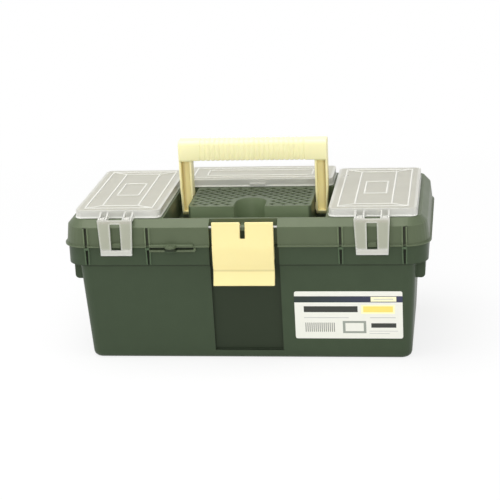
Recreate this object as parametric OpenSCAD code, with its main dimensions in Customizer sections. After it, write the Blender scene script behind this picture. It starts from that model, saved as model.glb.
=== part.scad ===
// Fishing tackle box: a green moulded base and lid, three clear compartment covers,
// a front latch, a folding carrying handle and a tray that swings up as the lid opens.
// Origin: middle of the flat underside. +X right, +Y to the hinge side, +Z up. Millimetres.

/* [Overall] */
// Width over the walls of the lid
lid_w = 360; // [350:1:390]
// Depth over the walls of the lid
lid_d = 190; // [186:1:210]
// Height of the base, from the floor to the parting line
base_h = 120; // [118:1:135]
// Wall thickness of the green mouldings
wall = 2.5; // [2:0.1:2.8]

/* [Base] */
// Height of the band round the top of the base
band_h = 19; // [17:0.5:20]
// How far the band stands back from the face of the lid
band_inset = 1.5; // [1:0.1:2]
// Width of the step under the band at each end
end_step = 12; // [11:0.1:14]
// Width of the step under the band at the front and back
front_step = 2.5; // [2:0.1:4]
// How much each end wall leans in from the band to the foot
end_draft = 5.5; // [4:0.1:7]
// How much the front and back walls lean in from the band to the foot
front_draft = 8; // [6:0.1:9]
// Radius of the upright corners of the base
base_corner_r = 11; // [11:0.5:18]
// Radius of the edge round the underside
foot_r = 5; // [4:0.5:7]
// Thickness of the floor of the base
floor_t = 3; // [2.5:0.1:4]
// Height of the tongue that stands up inside the lid
tongue_h = 2.2; // [1.5:0.1:3]
// Thickness of that tongue
tongue_t = 1.6; // [1.2:0.1:1.8]
// Width of the sunk panel behind the latch
panel_w = 68; // [66:1:74]
// Depth of the sunk panel
panel_depth = 3; // [2:0.1:4]
// Height of the lower edge of the sunk panel
panel_z = 9; // [7:1:16]
// Length of the finger lip at each end
end_lip_l = 144; // [130:1:146]
// How far the finger lip hangs below the band
end_lip_drop = 20; // [16:0.5:22]
// How far the finger lip stands back from the face of the band
end_lip_in = 3.5; // [3:0.1:4]

/* [Lid] */
// Height of the upright wall of the lid
lid_wall_h = 20; // [18:0.5:24]
// Height of the sloping edge above that wall
bevel_h = 6.5; // [5:0.5:8]
// How far the sloping edge leans in
bevel_in = 8; // [6:0.5:9]
// How far each end wall of the lid leans in above the parting line
lid_lean = 2.2; // [1:0.1:3]
// Corner radius of the lid
lid_corner_r = 23; // [21:1:25]
// How far the bead round the lower edge of the lid stands out
bead = 1.6; // [1:0.1:1.8]
// Thickness of the floor of a compartment
well_floor_t = 2; // [1.5:0.1:2.5]
// Thickness of the walls that divide the compartments
divider_t = 1.6; // [1.2:0.1:2]
// How far the dividers stop below the lip of a compartment
divider_drop = 2.2; // [1:0.1:5]
// Distance from each end of the lid to the outer slot in its front
slot_end = 23.9; // [22:0.1:30]
// Width of the slots in the front of the lid
slot_w = 2.6; // [2:0.1:3.4]
// Depth of those slots
slot_depth = 1.2; // [0.8:0.1:1.4]
// Width of the rib at each side of a slot
slot_rib = 1.4; // [1:0.1:1.6]
// How far those ribs stand out
slot_proud = 1.2; // [0.6:0.1:1.4]

/* [Clear covers] */
// Width of the green rim left at each end of the lid
rim_side = 12; // [11:0.5:15]
// Width of the green rim left along the front of the lid
rim_front = 10.6; // [10:0.1:13]
// Distance from the back of a corner cover to the back of the lid
rim_back = 20.6; // [20:0.1:26]
// Distance from the back of the rear cover to the back of the lid
rear_rim_back = 8; // [7.5:0.1:10]
// Height of a cover, skirt and all
cover_h = 7.8; // [7:0.1:9]
// Thickness of a cover
cover_t = 1.6; // [1.4:0.1:2]
// Corner radius of a cover
cover_corner_r = 7; // [5:0.5:8]
// Height of the raised lines on a cover
cover_line_h = 0.6; // [0.4:0.1:0.8]
// Width of the raised lines on a cover
cover_line_w = 1.4; // [1:0.1:2]
// How far the inner frame of lines stands in from the cover's long sides
cover_frame_in = 24; // [20:1:28]
// Width of the lift tab on the rear cover
cover_tab_w = 16; // [12:1:24]
// Radius of the rods that the covers turn on
cover_rod_r = 1.25; // [1:0.05:1.5]
// Width of each cover knuckle
cover_knuckle_w = 7.4; // [6:0.2:10]
// How far the cover's rods lie behind its skirt
cover_rod_back = 3.1; // [3:0.1:3.6]
// Height of the cover's rods above the top of the lid
cover_rod_up = 3.5; // [3.4:0.1:4]

/* [Clasps] */
// Width of a clasp at its top
clasp_top_w = 34.6; // [32:0.1:38]
// Width of a clasp at its foot
clasp_foot_w = 31; // [28:0.1:34]
// Thickness of a clasp
clasp_t = 1.8; // [1.5:0.1:2]
// How far the front of a clasp stands off the lid
clasp_off = 4.5; // [4.4:0.1:6]
// Length of a clasp
clasp_l = 35.8; // [34:0.1:38]
// Width of the window in a clasp
window_w = 10; // [8:0.5:12]
// Length of that window
window_l = 26.7; // [26:0.1:28]
// Height of the clasp's rod above the top of the lid
clasp_rod_up = 1.7; // [1.6:0.1:2.5]
// Radius of the clasp's rod
clasp_rod_r = 1.1; // [0.9:0.05:1.2]

/* [Handle] */
// Width over the legs of the handle
handle_w = 152; // [140:1:160]
// Height of the handle above its pivots
handle_h = 71.4; // [68:0.1:76]
// Height of the grip
grip_h = 20.7; // [18:0.1:22]
// Depth of the grip, front to back
grip_d = 18; // [15:0.5:20]
// Width of a leg
leg_w = 12.8; // [12:0.1:15]
// How much narrower a leg is at its foot
leg_taper = 1; // [0.5:0.1:4]
// Gap between a leg and the deck beside it
leg_gap = 1.2; // [0.5:0.1:2]
// Thickness of the handle's own walls
leg_wall = 2; // [1.6:0.1:2.4]
// Radius of the foot of a leg
leg_foot_r = 8; // [7:0.5:9]
// Radius of the studs that the handle turns on
handle_stud_r = 4; // [3:0.1:5]
// How far the pivots lie below the top of the lid
handle_sink = 13.5; // [12:0.5:14]
// How many hollows the grip has underneath
grip_pockets = 21; // [16:1:26]
// Length of the grip that is left plain at each end
grip_plain = 24; // [18:0.5:30]
// Width of the grooves round the grip, between its ribs
grip_groove_w = 1.8; // [1:0.1:2.4]
// Depth of those grooves
grip_groove_depth = 0.5; // [0.3:0.1:0.8]

/* [Deck and groove] */
// Depth of the raised deck, front to back
deck_d = 75; // [70:1:80]
// Depth of the groove in front of the deck
groove_d = 41; // [38:1:44]
// Distance from the front of the deck back to the handle's pivots
pivot_back = 48; // [46:1:52]
// Gap between a leg and the wall outside it
channel_gap = 4; // [2:0.5:4]
// Width of the finger scoop in the deck
scoop_w = 31; // [26:1:36]
// Depth of the finger scoop, front to back
scoop_l = 32; // [28:1:38]

/* [Latch] */
// Width of the latch
latch_w = 60.4; // [56:0.2:64]
// Length of the latch
latch_l = 63; // [60:0.5:66]
// Thickness of the latch
latch_t = 2.6; // [2.2:0.1:2.8]
// How far the top of the latch stands off the lid
latch_off = 2.5; // [2.3:0.1:3]
// How far the latch bulges below its top
latch_bulge = 3.5; // [2.5:0.1:5]
// Height of the flared lip at the foot of the latch
latch_lip = 14.5; // [13:0.5:16]
// How far the lip flares out
latch_flare = 5; // [3:0.1:6]
// Width of the notch at the top of the latch
notch_w = 4.8; // [4:0.2:8]
// Length of that notch
notch_l = 15.5; // [12:0.5:18]
// Height of the latch above its pin
latch_above_pin = 6; // [5:0.1:6]
// Radius of the latch's barrel
barrel_r = 3.2; // [2.8:0.1:3.4]
// Radius of the latch pin
latch_pin_r = 1.2; // [1:0.05:1.4]
// How far the latch's recess is cut into the lid
recess_depth = 8.5; // [8.5:0.1:9]

/* [Lid hinge] */
// Distance from each end of the lid to the middle of a hinge
hinge_end = 70; // [60:1:90]
// Radius of the hinge knuckles
knuckle_r = 3.6; // [3.2:0.1:3.7]
// How far the hinge pins lie behind the lid
hinge_back = 4.6; // [4.5:0.1:5.5]
// Radius of the hinge pins
hinge_pin_r = 1.5; // [1.2:0.05:1.8]
// Width of the lid's knuckle
lid_knuckle_w = 25.2; // [20:0.2:30]
// Width of each of the base's knuckles
base_knuckle_w = 12; // [8:0.5:16]

/* [Tray and its arms] */
// Depth of the tray, front to back
tray_d = 131; // [120:1:134]
// Height of the tray
tray_h = 36; // [30:1:38]
// Thickness of the tray's walls
tray_t = 2; // [1.6:0.1:2.4]
// Gap between the tray and the lid above it
tray_head = 4; // [3:0.5:8]
// Height of the tray's pivots above its underside
tray_pivot_up = 10; // [8:0.5:14]
// Distance between the pivots of an arm
arm_l = 60; // [56:1:62]
// Width of an arm
arm_w = 10; // [8:0.5:12]
// Thickness of an arm
arm_t = 3; // [2.4:0.1:3.4]
// Place of the rear arms' base pivots behind the middle of the box
rear_arm_y = 55; // [52:1:58]
// Distance between the front and the rear arms
arm_pitch = 72; // [71:1:75]
// Radius of the studs that the arms turn on
stud_r = 2.5; // [2:0.1:3]
// Thickness of the links that lift the arms
link_t = 2.5; // [2:0.1:2.6]
// Width of those links
link_w = 8; // [7:0.5:9]
// How far the lid's pivot of a link lies in front of the lid hinge
link_y = 34; // [32:1:36]
// How far the lid's pivot of a link lies below the parting line
link_drop = 8; // [7:0.5:9]
// How far the lid opens, in degrees
lid_open = 105; // [100:1:110]
// How far the arms swing while it does, in degrees
arm_swing = 70; // [66:1:72]

/* [Label] */
// Width of the label
label_w = 106; // [80:1:108]
// Height of the label
label_h = 50.5; // [30:0.5:60]
// Thickness of the label
label_t = 0.2; // [0.1:0.05:0.3]
// Distance from the end of the lid to the end of the label
label_end = 27; // [26:0.5:32]
// Height of the label's lower edge, along the wall
label_z = 22; // [18:0.2:36]

/* [Fits] */
// Radial clearance of a pin or stud in the hole it turns in
run_gap = 0.1; // [0.06:0.01:0.1]
// Gap between faces that move past each other
side_gap = 0.5; // [0.4:0.05:0.6]
// Gap between a knuckle and the knuckle or lug beside it
knuckle_gap = 0.4; // [0.3:0.05:0.5]
// Gap under the skirt of a cover
seat_gap = 0.3; // [0.2:0.05:0.4]

/* [Hidden] */
$fn = 48;

HULL_FN = 32;           // segments of the round corners inside a hull
SLICE = 0.01;           // thickness of the slices that a hull is drawn over
CUT = 1;                // how far a cut runs past the face it opens

GREEN = "#46523f";
TRAY_GREEN = "#55624c";
CREAM = "#fcf3b9";
CLEAR = [0.84, 0.84, 0.80, 0.55];
STEEL = "#b9bcc0";
PAPER = "#f4f4ef";

// Levels
neck_z = base_h - band_h;
lid_top = base_h + lid_wall_h + bevel_h;
well_z = base_h + well_floor_t;
cover_z = lid_top + seat_gap;
cover_top = cover_z + cover_h;
lip_top = cover_top - cover_t - 0.8;

// Half sizes of the base and its band
band_hw = lid_w / 2 - band_inset;
band_hd = lid_d / 2 - band_inset;
band_corner_r = lid_corner_r - band_inset;
neck_hw = band_hw - end_step;
neck_hd = band_hd - front_step;
function base_hw(z) = neck_hw - end_draft * (1 - z / neck_z);
function base_hd(z) = neck_hd - front_draft * (1 - z / neck_z);

// Places across the lid, front to back and side to side
lid_front = -lid_d / 2;
lid_back = lid_d / 2;
groove_front = lid_front + rim_front + side_gap;
deck_front = groove_front + groove_d;
deck_back = deck_front + deck_d;
deck_hw = handle_w / 2 - leg_w - leg_gap;
channel_x = handle_w / 2 + channel_gap;
cover_x0 = channel_x + wall + 0.2;
cover_x1 = lid_w / 2 - rim_side;
cover_y0 = lid_front + rim_front;
cover_y1 = lid_back - rim_back;
rear_cover_y1 = lid_back - rear_rim_back;
rear_cover_hw = channel_x - 2;

// Lips of the compartments inside the cover skirts. The back lip stands clear of the turning skirt.
lip_in = cover_t + side_gap;
lip_t = 2;
skirt_sweep = sqrt(pow(cover_rod_back + cover_t, 2) + pow(cover_rod_up - seat_gap, 2));
lip_back_in = skirt_sweep - cover_rod_back + side_gap;
well_corner_r = 5;

// Cover hinges
cover_rod_z = lid_top + cover_rod_up;
cover_knuckle_r = cover_rod_r + run_gap + 1.45;
cover_lug_r = cover_rod_back - 0.6;
cover_lug_w = 2.4;
corner_cover_x = (cover_x0 + cover_x1) / 2;
corner_hinge_dx = (cover_x1 - cover_x0) / 3;
rear_hinge_dx = rear_cover_hw * 0.66;

// Clasps
clasp_front = lid_front - clasp_off;
clasp_rod_y = clasp_front + clasp_t + 2.3;
clasp_rod_z = lid_top + clasp_rod_up;
clasp_top = clasp_rod_z + 0.6;
clasp_ring_r = 2.3;
clasp_lug_r = clasp_rod_r + 0.8;
clasp_lug_t = 1.8;
clasp_lug_dx = [-16, -8, 9, 16];    // the four lugs, from the middle of the clasp
window_side = 4;                    // what the window leaves above it
bump_w = window_w - 2;
bump_h = 4.5;

// Handle
pivot_y = deck_front + pivot_back;
pivot_z = lid_top - handle_sink;
leg_x0 = deck_hw + leg_gap;
leg_x1 = handle_w / 2;

// Latch
latch_y = lid_front + 2;
latch_top = lid_top - 1;
latch_z = latch_top - latch_above_pin;
latch_foot = latch_top - latch_l;
latch_face = lid_front - latch_off;
recess_hw = latch_w / 2 + 3.3;
recess_y = lid_front + recess_depth;
recess_side = 4.5;
band_recess_y = -band_hd + 3.5;

// Lid hinge
hinge_x = lid_w / 2 - hinge_end;
hinge_y = lid_back + hinge_back;
hinge_z = base_h;

// Arms, links and tray, from the base wall inwards
arm_z = base_h - tray_head - tray_h + tray_pivot_up;
wall_in = base_hw(arm_z) - wall;
link_x1 = wall_in - 2.6;
link_x0 = link_x1 - link_t;
arm_x1 = link_x0 - 1;
arm_x0 = arm_x1 - arm_t;
tray_hw = arm_x0 - 3;
tray_z = arm_z - tray_pivot_up;
front_arm_y = rear_arm_y - arm_pitch;
tray_front = front_arm_y - arm_l - 6;
boss_r = arm_w / 2;
lug_w = 3;

// The link's lid pivot shut and open, from the rear arm's base pivot, as [y, z]
c_shut = [hinge_y - link_y - rear_arm_y, hinge_z - link_drop - arm_z];
c_open = [hinge_y - link_y * cos(lid_open) - link_drop * sin(lid_open) - rear_arm_y,
          hinge_z + link_y * sin(lid_open) - link_drop * cos(lid_open) - arm_z];
arm_open = [-cos(arm_swing), sin(arm_swing)];
// The point of the arm that is as far from both places of the lid pivot
link_on_arm = (c_open * c_open - c_shut * c_shut) / (2 * (c_open * arm_open + c_shut[0]));
link_vector = [-link_on_arm - c_shut[0], -c_shut[1]];
link_l = norm(link_vector);
link_tilt = atan2(link_vector[1], link_vector[0]);

// Label
label_x = lid_w / 2 - label_end - label_w / 2;
label_lean = atan2(front_draft, neck_z);

// Slots down the front walls, one each side of a clasp. In the base they taper towards the foot.
slot_out = lid_w / 2 - slot_end;
slot_in = 2 * corner_cover_x - slot_out;
slot_x = [-slot_out, -slot_in, slot_in, slot_out];
slot_foot_w = slot_w - 0.8;
slot_out_w = slot_w + 2 * slot_rib;

// ---------- shapes shared by the pieces ----------

// A block between two corners, with round upright edges
module round_block(x0, x1, y0, y1, z0, z1, r) {
    translate([0, 0, z0]) linear_extrude(z1 - z0) {
        translate([x0 + r, y0]) square([x1 - x0 - 2 * r, y1 - y0]);
        translate([x0, y0 + r]) square([x1 - x0, y1 - y0 - 2 * r]);
        for (x = [x0 + r, x1 - r], y = [y0 + r, y1 - r]) translate([x, y]) circle(r);
    }
}

// A plain block between two corners
module block(x0, x1, y0, y1, z0, z1) {
    translate([x0, y0, z0]) cube([x1 - x0, y1 - y0, z1 - z0]);
}

// Four round corner slices at one level, for a hull
module corners(hw, hd, r, z) {
    for (x = [-1, 1], y = [-1, 1])
        translate([x * (hw - r), y * (hd - r), z]) cylinder(r = r, h = SLICE, $fn = HULL_FN);
}

// A round bar along X
module bar(x0, x1, y, z, r) {
    translate([x0, y, z]) rotate([0, 90, 0]) cylinder(r = r, h = x1 - x0);
}

// A [y, z] outline drawn out along X
module profile(x0, x1, points) {
    translate([x0, 0, 0]) rotate([90, 0, 90]) linear_extrude(x1 - x0) polygon(points);
}

// ---------- base ----------

module base_outside() {
    hull() {
        for (a = [0, 30, 60, 90]) {
            z = foot_r * (1 - cos(a));
            inset = foot_r * (1 - sin(a));
            corners(base_hw(z) - inset, base_hd(z) - inset, base_corner_r - inset, z);
        }
        corners(neck_hw, neck_hd, base_corner_r, neck_z);
    }
}

module base_inside() {
    edge_in = foot_r - 3;
    hull() {
        corners(base_hw(floor_t) - wall - edge_in, base_hd(floor_t) - wall - edge_in,
                base_corner_r - wall - edge_in, floor_t);
        corners(base_hw(floor_t + edge_in) - wall, base_hd(floor_t + edge_in) - wall,
                base_corner_r - wall, floor_t + edge_in);
        corners(neck_hw - wall, neck_hd - wall, base_corner_r - wall, neck_z + wall + CUT);
    }
}

// The front of the base as a [y, z] outline, set back by a depth below the band and in it
module front_slab(half_w, z0, depth, band_y, front_y) {
    profile(-half_w, half_w, [
        [front_y, z0], [-base_hd(z0) + depth, z0], [-base_hd(neck_z) + depth, neck_z],
        [band_y, neck_z], [band_y, base_h + CUT], [front_y, base_h + CUT]]);
}

module band_tongue() {
    hw = lid_w / 2 - wall - side_gap - lid_lean * tongue_h / lid_wall_h;
    hd = lid_d / 2 - wall - side_gap;
    r = lid_corner_r - wall - side_gap;
    z0 = base_h - 2;
    difference() {
        round_block(-hw, hw, -hd, hd, z0, base_h + tongue_h, r);
        round_block(-hw + tongue_t, hw - tongue_t, -hd + tongue_t, hd - tongue_t, z0 - CUT,
                    base_h + tongue_h + CUT, r - tongue_t);
        block(-recess_hw - recess_side - side_gap, recess_hw + recess_side + side_gap,
              -hd - CUT, -hd + tongue_t + CUT, z0 - CUT, base_h + tongue_h + CUT);
    }
}

// Seal eye: a rounded ear with an upright hole, standing out from a wall at y
module seal_ear(wall_y, z0, z1) {
    difference() {
        union() {
            translate([-eye_x, eye_y, z0]) cylinder(r = eye_r, h = z1 - z0);
            block(-eye_x - eye_r, -eye_x + eye_r, eye_y, wall_y + 0.5, z0, z1);
        }
        block(-eye_x - 2 * eye_r, -eye_x + 2 * eye_r, wall_y + 0.5, wall_y + 2 * eye_r, z0 - CUT, z1 + CUT);
        translate([-eye_x, eye_y, z0 - CUT]) cylinder(r = eye_hole_r, h = z1 - z0 + 2 * CUT);
    }
}
eye_x = 71.6;
eye_r = 5.8;
eye_hole_r = 2.3;
eye_y = lid_front - 2.2;

// Finger lip at the right end: a skirt with a round lower edge, closed at its front and back
module end_lip() {
    z0 = neck_z - end_lip_drop;
    x0 = base_hw(z0) - 1;
    x1 = band_hw - end_lip_in;
    rise = end_lip_drop + wall / 2;
    difference() {
        translate([0, end_lip_l / 2, 0]) rotate([90, 0, 0]) linear_extrude(end_lip_l) {
            translate([x0, z0]) square([x1 - end_lip_r - x0, rise]);
            translate([x0, z0 + end_lip_r]) square([x1 - x0, rise - end_lip_r]);
            translate([x1 - end_lip_r, z0 + end_lip_r]) circle(end_lip_r);
        }
        block(x0 - CUT, x1 - wall, -end_lip_l / 2 + wall, end_lip_l / 2 - wall, z0 - CUT, neck_z + wall);
    }
}

module base_tub() color(GREEN) {
    difference() {
        union() {
            difference() {
                union() {
                    base_outside();
                    round_block(-band_hw, band_hw, -band_hd, band_hd, neck_z, base_h, band_corner_r);
                }
                difference() {
                    union() {
                        base_inside();
                        round_block(-band_hw + wall, band_hw - wall, -band_hd + wall, band_hd - wall,
                                    neck_z + wall, base_h + CUT, band_corner_r - wall);
                    }
                    front_slab(panel_w / 2 + wall, 0, panel_depth + wall, band_recess_y + wall,
                               -band_hd - CUT);
                }
            }
            band_tongue();
            for (s = [-1, 1]) mirror([s < 0 ? 1 : 0, 0, 0]) end_lip();
            // ribs beside the notches in the band, with a knob across them under the lid
            for (x = slot_x) {
                translate([x, -band_hd + CUT, 0]) rotate([90, 0, 0])
                    linear_extrude(slot_proud + CUT) polygon([
                        [-slot_foot_w / 2 - slot_rib, neck_z + 1], [slot_foot_w / 2 + slot_rib, neck_z + 1],
                        [slot_out_w / 2, base_h - knob_z0], [-slot_out_w / 2, base_h - knob_z0]]);
                block(x - slot_out_w / 2, x + slot_out_w / 2, -band_hd - slot_proud - knob_proud,
                      -band_hd + CUT, base_h - knob_z1, base_h - knob_z0);
            }
            // hinge knuckles and what joins them to the band
            for (s = [-1, 1], k = [-1, 1]) {
                x0 = s * hinge_x + k * (lid_knuckle_w / 2 + knuckle_gap + base_knuckle_w / 2)
                     - base_knuckle_w / 2;
                bar(x0, x0 + base_knuckle_w, hinge_y, hinge_z, knuckle_r);
                block(x0, x0 + base_knuckle_w, band_hd - 1, hinge_y, hinge_z - knuckle_r - 1.4, hinge_z);
            }
            // bosses and studs that the arms turn on
            for (s = [-1, 1], y = [front_arm_y, rear_arm_y]) mirror([s < 0 ? 1 : 0, 0, 0]) {
                bar(arm_x1 + 0.4, wall_in + 1, y, arm_z, boss_r);
                bar(arm_x0 - 0.4, arm_x1 + 1, y, arm_z, stud_r);
            }
            seal_ear(-band_hd, base_h - 3.4, base_h - 0.4);
        }
        // sunk panel behind the latch
        front_slab(panel_w / 2, panel_z, panel_depth, band_recess_y, -base_hd(neck_z) - 20);
        // tapering notches in the band
        for (x = slot_x) translate([x, -band_hd + slot_depth, 0]) rotate([90, 0, 0])
            linear_extrude(slot_depth + slot_proud + CUT) polygon([
                [-slot_foot_w / 2, neck_z - CUT], [slot_foot_w / 2, neck_z - CUT],
                [slot_w / 2, base_h - knob_z1], [-slot_w / 2, base_h - knob_z1]]);
        for (s = [-1, 1])
            bar(s * hinge_x - hinge_pin_len / 2, s * hinge_x + hinge_pin_len / 2, hinge_y, hinge_z,
                hinge_pin_r + run_gap);
    }
    // catch nose that the latch closes over
    block(-catch_hw, catch_hw, -band_hd + 0.5, band_recess_y + 1, neck_z, neck_z + 4);
}
catch_hw = 12;
end_lip_r = 4;          // round of the finger lip's lower edge
knob_z0 = 0.6;          // from the parting line down to the top of a knob, and to its foot
knob_z1 = 3;
knob_proud = 0.6;       // how far a knob stands in front of the ribs
hinge_pin_len = lid_knuckle_w + 2 * (base_knuckle_w + knuckle_gap) + 4;

// ---------- lid ----------

module lid_outside() {
    hull() {
        corners(lid_w / 2, lid_d / 2, lid_corner_r, base_h);
        corners(lid_w / 2 - lid_lean, lid_d / 2, lid_corner_r, base_h + lid_wall_h);
        corners(lid_w / 2 - bevel_in, lid_d / 2 - bevel_in, lid_corner_r - bevel_in, lid_top - SLICE);
    }
}

module lid_inside() {
    hw = lid_w / 2 - wall;
    hd = lid_d / 2 - wall;
    r = lid_corner_r - wall;
    hull() {
        corners(hw, hd, r, base_h - CUT);
        corners(hw - lid_lean, hd, r, base_h + lid_wall_h - 1);
        corners(hw - bevel_in, hd - bevel_in, r - bevel_in, lid_top - wall);
    }
}

// What stays solid under the top of the lid, for the wells, the groove and the deck to be cut from
module lid_cores() {
    z0 = base_h - 2 * CUT;
    z1 = lid_top;
    for (s = [-1, 1]) mirror([s < 0 ? 1 : 0, 0, 0]) {
        round_block(cover_x0 + lip_in, cover_x1 - lip_in, cover_y0 + lip_in, cover_y1 - lip_back_in,
                    z0, z1, well_corner_r + lip_t);
        block(channel_x - 1, channel_x + wall, groove_front - 4, deck_back + lip_in, z0, z1);
        // cheeks of the latch recess
        block(recess_hw - 1, recess_hw + recess_side, lid_front, groove_front, z0, z1);
    }
    block(-channel_x, channel_x, recess_y, groove_front + 1, z0, z1);
    block(-web_hw, web_hw, lid_front, recess_y + 1, z0, z1);
    block(-channel_x, channel_x, groove_front, deck_back + lip_in, z0, z1);
    round_block(-rear_cover_hw + lip_in, rear_cover_hw - lip_in, deck_back + lip_in - 8,
                rear_cover_y1 - lip_back_in, z0, z1, well_corner_r + lip_t);
}

// The lip round a compartment, from the top of the lid up into the cover
module lip_ring(x0, x1, y0, y1) {
    round_block(x0, x1, y0, y1, lid_top - 1, lip_top, well_corner_r + lip_t);
}

// The hollow of a compartment with its dividers left standing
module well(x0, x1, y0, y1, across, along) {
    difference() {
        round_block(x0, x1, y0, y1, well_z, lip_top + CUT, well_corner_r);
        for (i = [1 : 1 : across - 1])
            block(x0 + (x1 - x0) * i / across - divider_t / 2, x0 + (x1 - x0) * i / across + divider_t / 2,
                  y0 - CUT, y1 + CUT, well_z - CUT, lip_top - divider_drop);
        for (i = [1 : 1 : along - 1])
            block(x0 - CUT, x1 + CUT, y0 + (y1 - y0) * i / along - divider_t / 2,
                  y0 + (y1 - y0) * i / along + divider_t / 2, well_z - CUT, lip_top - divider_drop);
    }
}

// Lugs and rod that one knuckle of a cover turns on
module cover_lugs(x, y, foot) {
    rod_hw = cover_knuckle_w / 2 + knuckle_gap;
    for (k = [-1, 1]) {
        x0 = x + k * (rod_hw + cover_lug_w / 2) - cover_lug_w / 2;
        bar(x0, x0 + cover_lug_w, y, cover_rod_z, cover_lug_r);
        block(x0, x0 + cover_lug_w, y - cover_lug_r, y + cover_lug_r, foot, cover_rod_z);
    }
    bar(x - rod_hw - 1, x + rod_hw + 1, y, cover_rod_z, cover_rod_r);
}

// The lid as it is moulded, in one with the deck
module lid_moulding() {
    difference() {
        union() {
            difference() {
                lid_outside();
                difference() {
                    lid_inside();
                    lid_cores();
                }
            }
            for (s = [-1, 1]) mirror([s < 0 ? 1 : 0, 0, 0]) {
                lip_ring(cover_x0 + lip_in, cover_x1 - lip_in, cover_y0 + lip_in, cover_y1 - lip_back_in);
                for (k = [-1, 1])
                    cover_lugs(corner_cover_x + k * corner_hinge_dx, cover_y1 + cover_rod_back, lid_top - 1);
                cover_lugs(rear_hinge_dx, rear_cover_y1 + cover_rod_back, lid_top - bevel_h);
                // knuckle of the lid hinge
                bar(hinge_x - lid_knuckle_w / 2, hinge_x + lid_knuckle_w / 2, hinge_y, hinge_z, knuckle_r);
                block(hinge_x - lid_knuckle_w / 2, hinge_x + lid_knuckle_w / 2, lid_back - 1, hinge_y,
                      hinge_z, hinge_z + knuckle_r);
                // lug and stud that the link hangs from
                link_lug_y = hinge_y - link_y;
                link_lug_z = hinge_z - link_drop;
                bar(link_x1 + side_gap, link_x1 + side_gap + lug_w, link_lug_y, link_lug_z, boss_r);
                block(link_x1 + side_gap, link_x1 + side_gap + lug_w, link_lug_y - boss_r,
                      link_lug_y + boss_r, link_lug_z, base_h + well_floor_t / 2);
                bar(link_x0 - 0.3, link_x1 + 1, link_lug_y, link_lug_z, stud_r);
                // bump that holds the clasp's window
                block(corner_cover_x - bump_w / 2, corner_cover_x + bump_w / 2, lid_front - bump_out,
                      lid_front + 1, base_h, base_h + bump_h);
            }
            lip_ring(-rear_cover_hw + lip_in, rear_cover_hw - lip_in, deck_back + lip_in,
                     rear_cover_y1 - lip_back_in);
            // bead round the lower edge, thinner at the back where the hinges are
            difference() {
                round_block(-lid_w / 2 - bead, lid_w / 2 + bead, lid_front - bead, lid_back + bead_back,
                            base_h, base_h + bead_h, lid_corner_r + bead);
                round_block(-lid_w / 2 + 1, lid_w / 2 - 1, lid_front + 1, lid_back - 1, base_h - CUT,
                            base_h + bead_h + CUT, lid_corner_r - 1);
            }
            // ribs beside the slots
            for (x = slot_x, k = [-1, 1]) {
                rib_x = x + k * (slot_w + slot_rib) / 2;
                block(rib_x - slot_rib / 2, rib_x + slot_rib / 2, lid_front - slot_proud, lid_front + 1,
                      base_h, base_h + lid_wall_h - 0.5);
            }
            seal_ear(lid_front, base_h, base_h + 2.8);
        }
        for (s = [-1, 1]) mirror([s < 0 ? 1 : 0, 0, 0]) {
            well(cover_x0 + lip_in + lip_t, cover_x1 - lip_in - lip_t, cover_y0 + lip_in + lip_t,
                 cover_y1 - lip_back_in - lip_t, 2, 2);
            // channel that the handle's leg swings in
            block(deck_hw, channel_x, groove_front, deck_back, well_z, lid_top + CUT);
            // hole for the handle's stud
            bar(deck_hw - wall - CUT, deck_hw + CUT, pivot_y, pivot_z, handle_stud_r + run_gap);
            // hole for the end of the latch pin
            bar(recess_hw - CUT, recess_hw + latch_pin_grip + 0.5, latch_y, latch_z, latch_pin_r + run_gap);
            bar(hinge_x - lid_knuckle_w, hinge_x + lid_knuckle_w, hinge_y, hinge_z, hinge_pin_r + run_gap);
        }
        well(-rear_cover_hw + lip_in + lip_t, rear_cover_hw - lip_in - lip_t, deck_back + lip_in + lip_t,
             rear_cover_y1 - lip_back_in - lip_t, 2, 1);
        block(-channel_x, channel_x, groove_front, deck_front, well_z, lid_top + CUT);
        finger_scoop(scoop_w / 2, CUT, well_z);
        // hollow under the deck
        difference() {
            block(-deck_hw + wall, deck_hw - wall, deck_front + wall, deck_back - wall, base_h - CUT,
                  lid_top - wall);
            finger_scoop(scoop_w / 2 + wall, wall + CUT, base_h - 2 * CUT);
        }
        // recess for the latch
        difference() {
            block(-recess_hw, recess_hw, lid_front - bead - CUT, recess_y, base_h - CUT, lid_top + CUT);
            // middle web that carries the pin in the latch's notch
            block(-web_hw, web_hw, latch_y - latch_pin_r - 1, recess_y + CUT, latch_z - barrel_r,
                  latch_z + latch_pin_r + 1);
        }
        bar(-web_hw - CUT, web_hw + CUT, latch_y, latch_z, latch_pin_r + run_gap);
        // slots between the ribs
        for (x = slot_x)
            block(x - slot_w / 2, x + slot_w / 2, lid_front - bead - CUT, lid_front + slot_depth,
                  base_h - CUT, base_h + lid_wall_h - 0.5);
    }
}

// Where the deck ends and the rest of the lid begins
module deck_space() {
    block(-deck_hw, deck_hw, deck_front, deck_back, base_h - 2 * CUT, lid_top + 2 * CUT);
}

module lid_shell() color(GREEN)
    difference() {
        lid_moulding();
        deck_space();
    }

module lid_deck() color(GREEN)
    intersection() {
        lid_moulding();
        deck_space();
    }

bead_h = 1.4;
bead_back = 0.6;
bump_out = clasp_off - clasp_t - 0.3;
web_hw = notch_w / 2 - side_gap;
latch_pin_grip = 3;

// The U-shaped cut at the front of the deck
module finger_scoop(r, front_extra, z0) {
    scoop_y = deck_front + scoop_l - scoop_w / 2;
    translate([0, scoop_y, z0]) cylinder(r = r, h = lid_top + CUT - z0);
    block(-r, r, deck_front - front_extra, scoop_y, z0, lid_top + CUT);
}

// ---------- clear covers ----------

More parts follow.
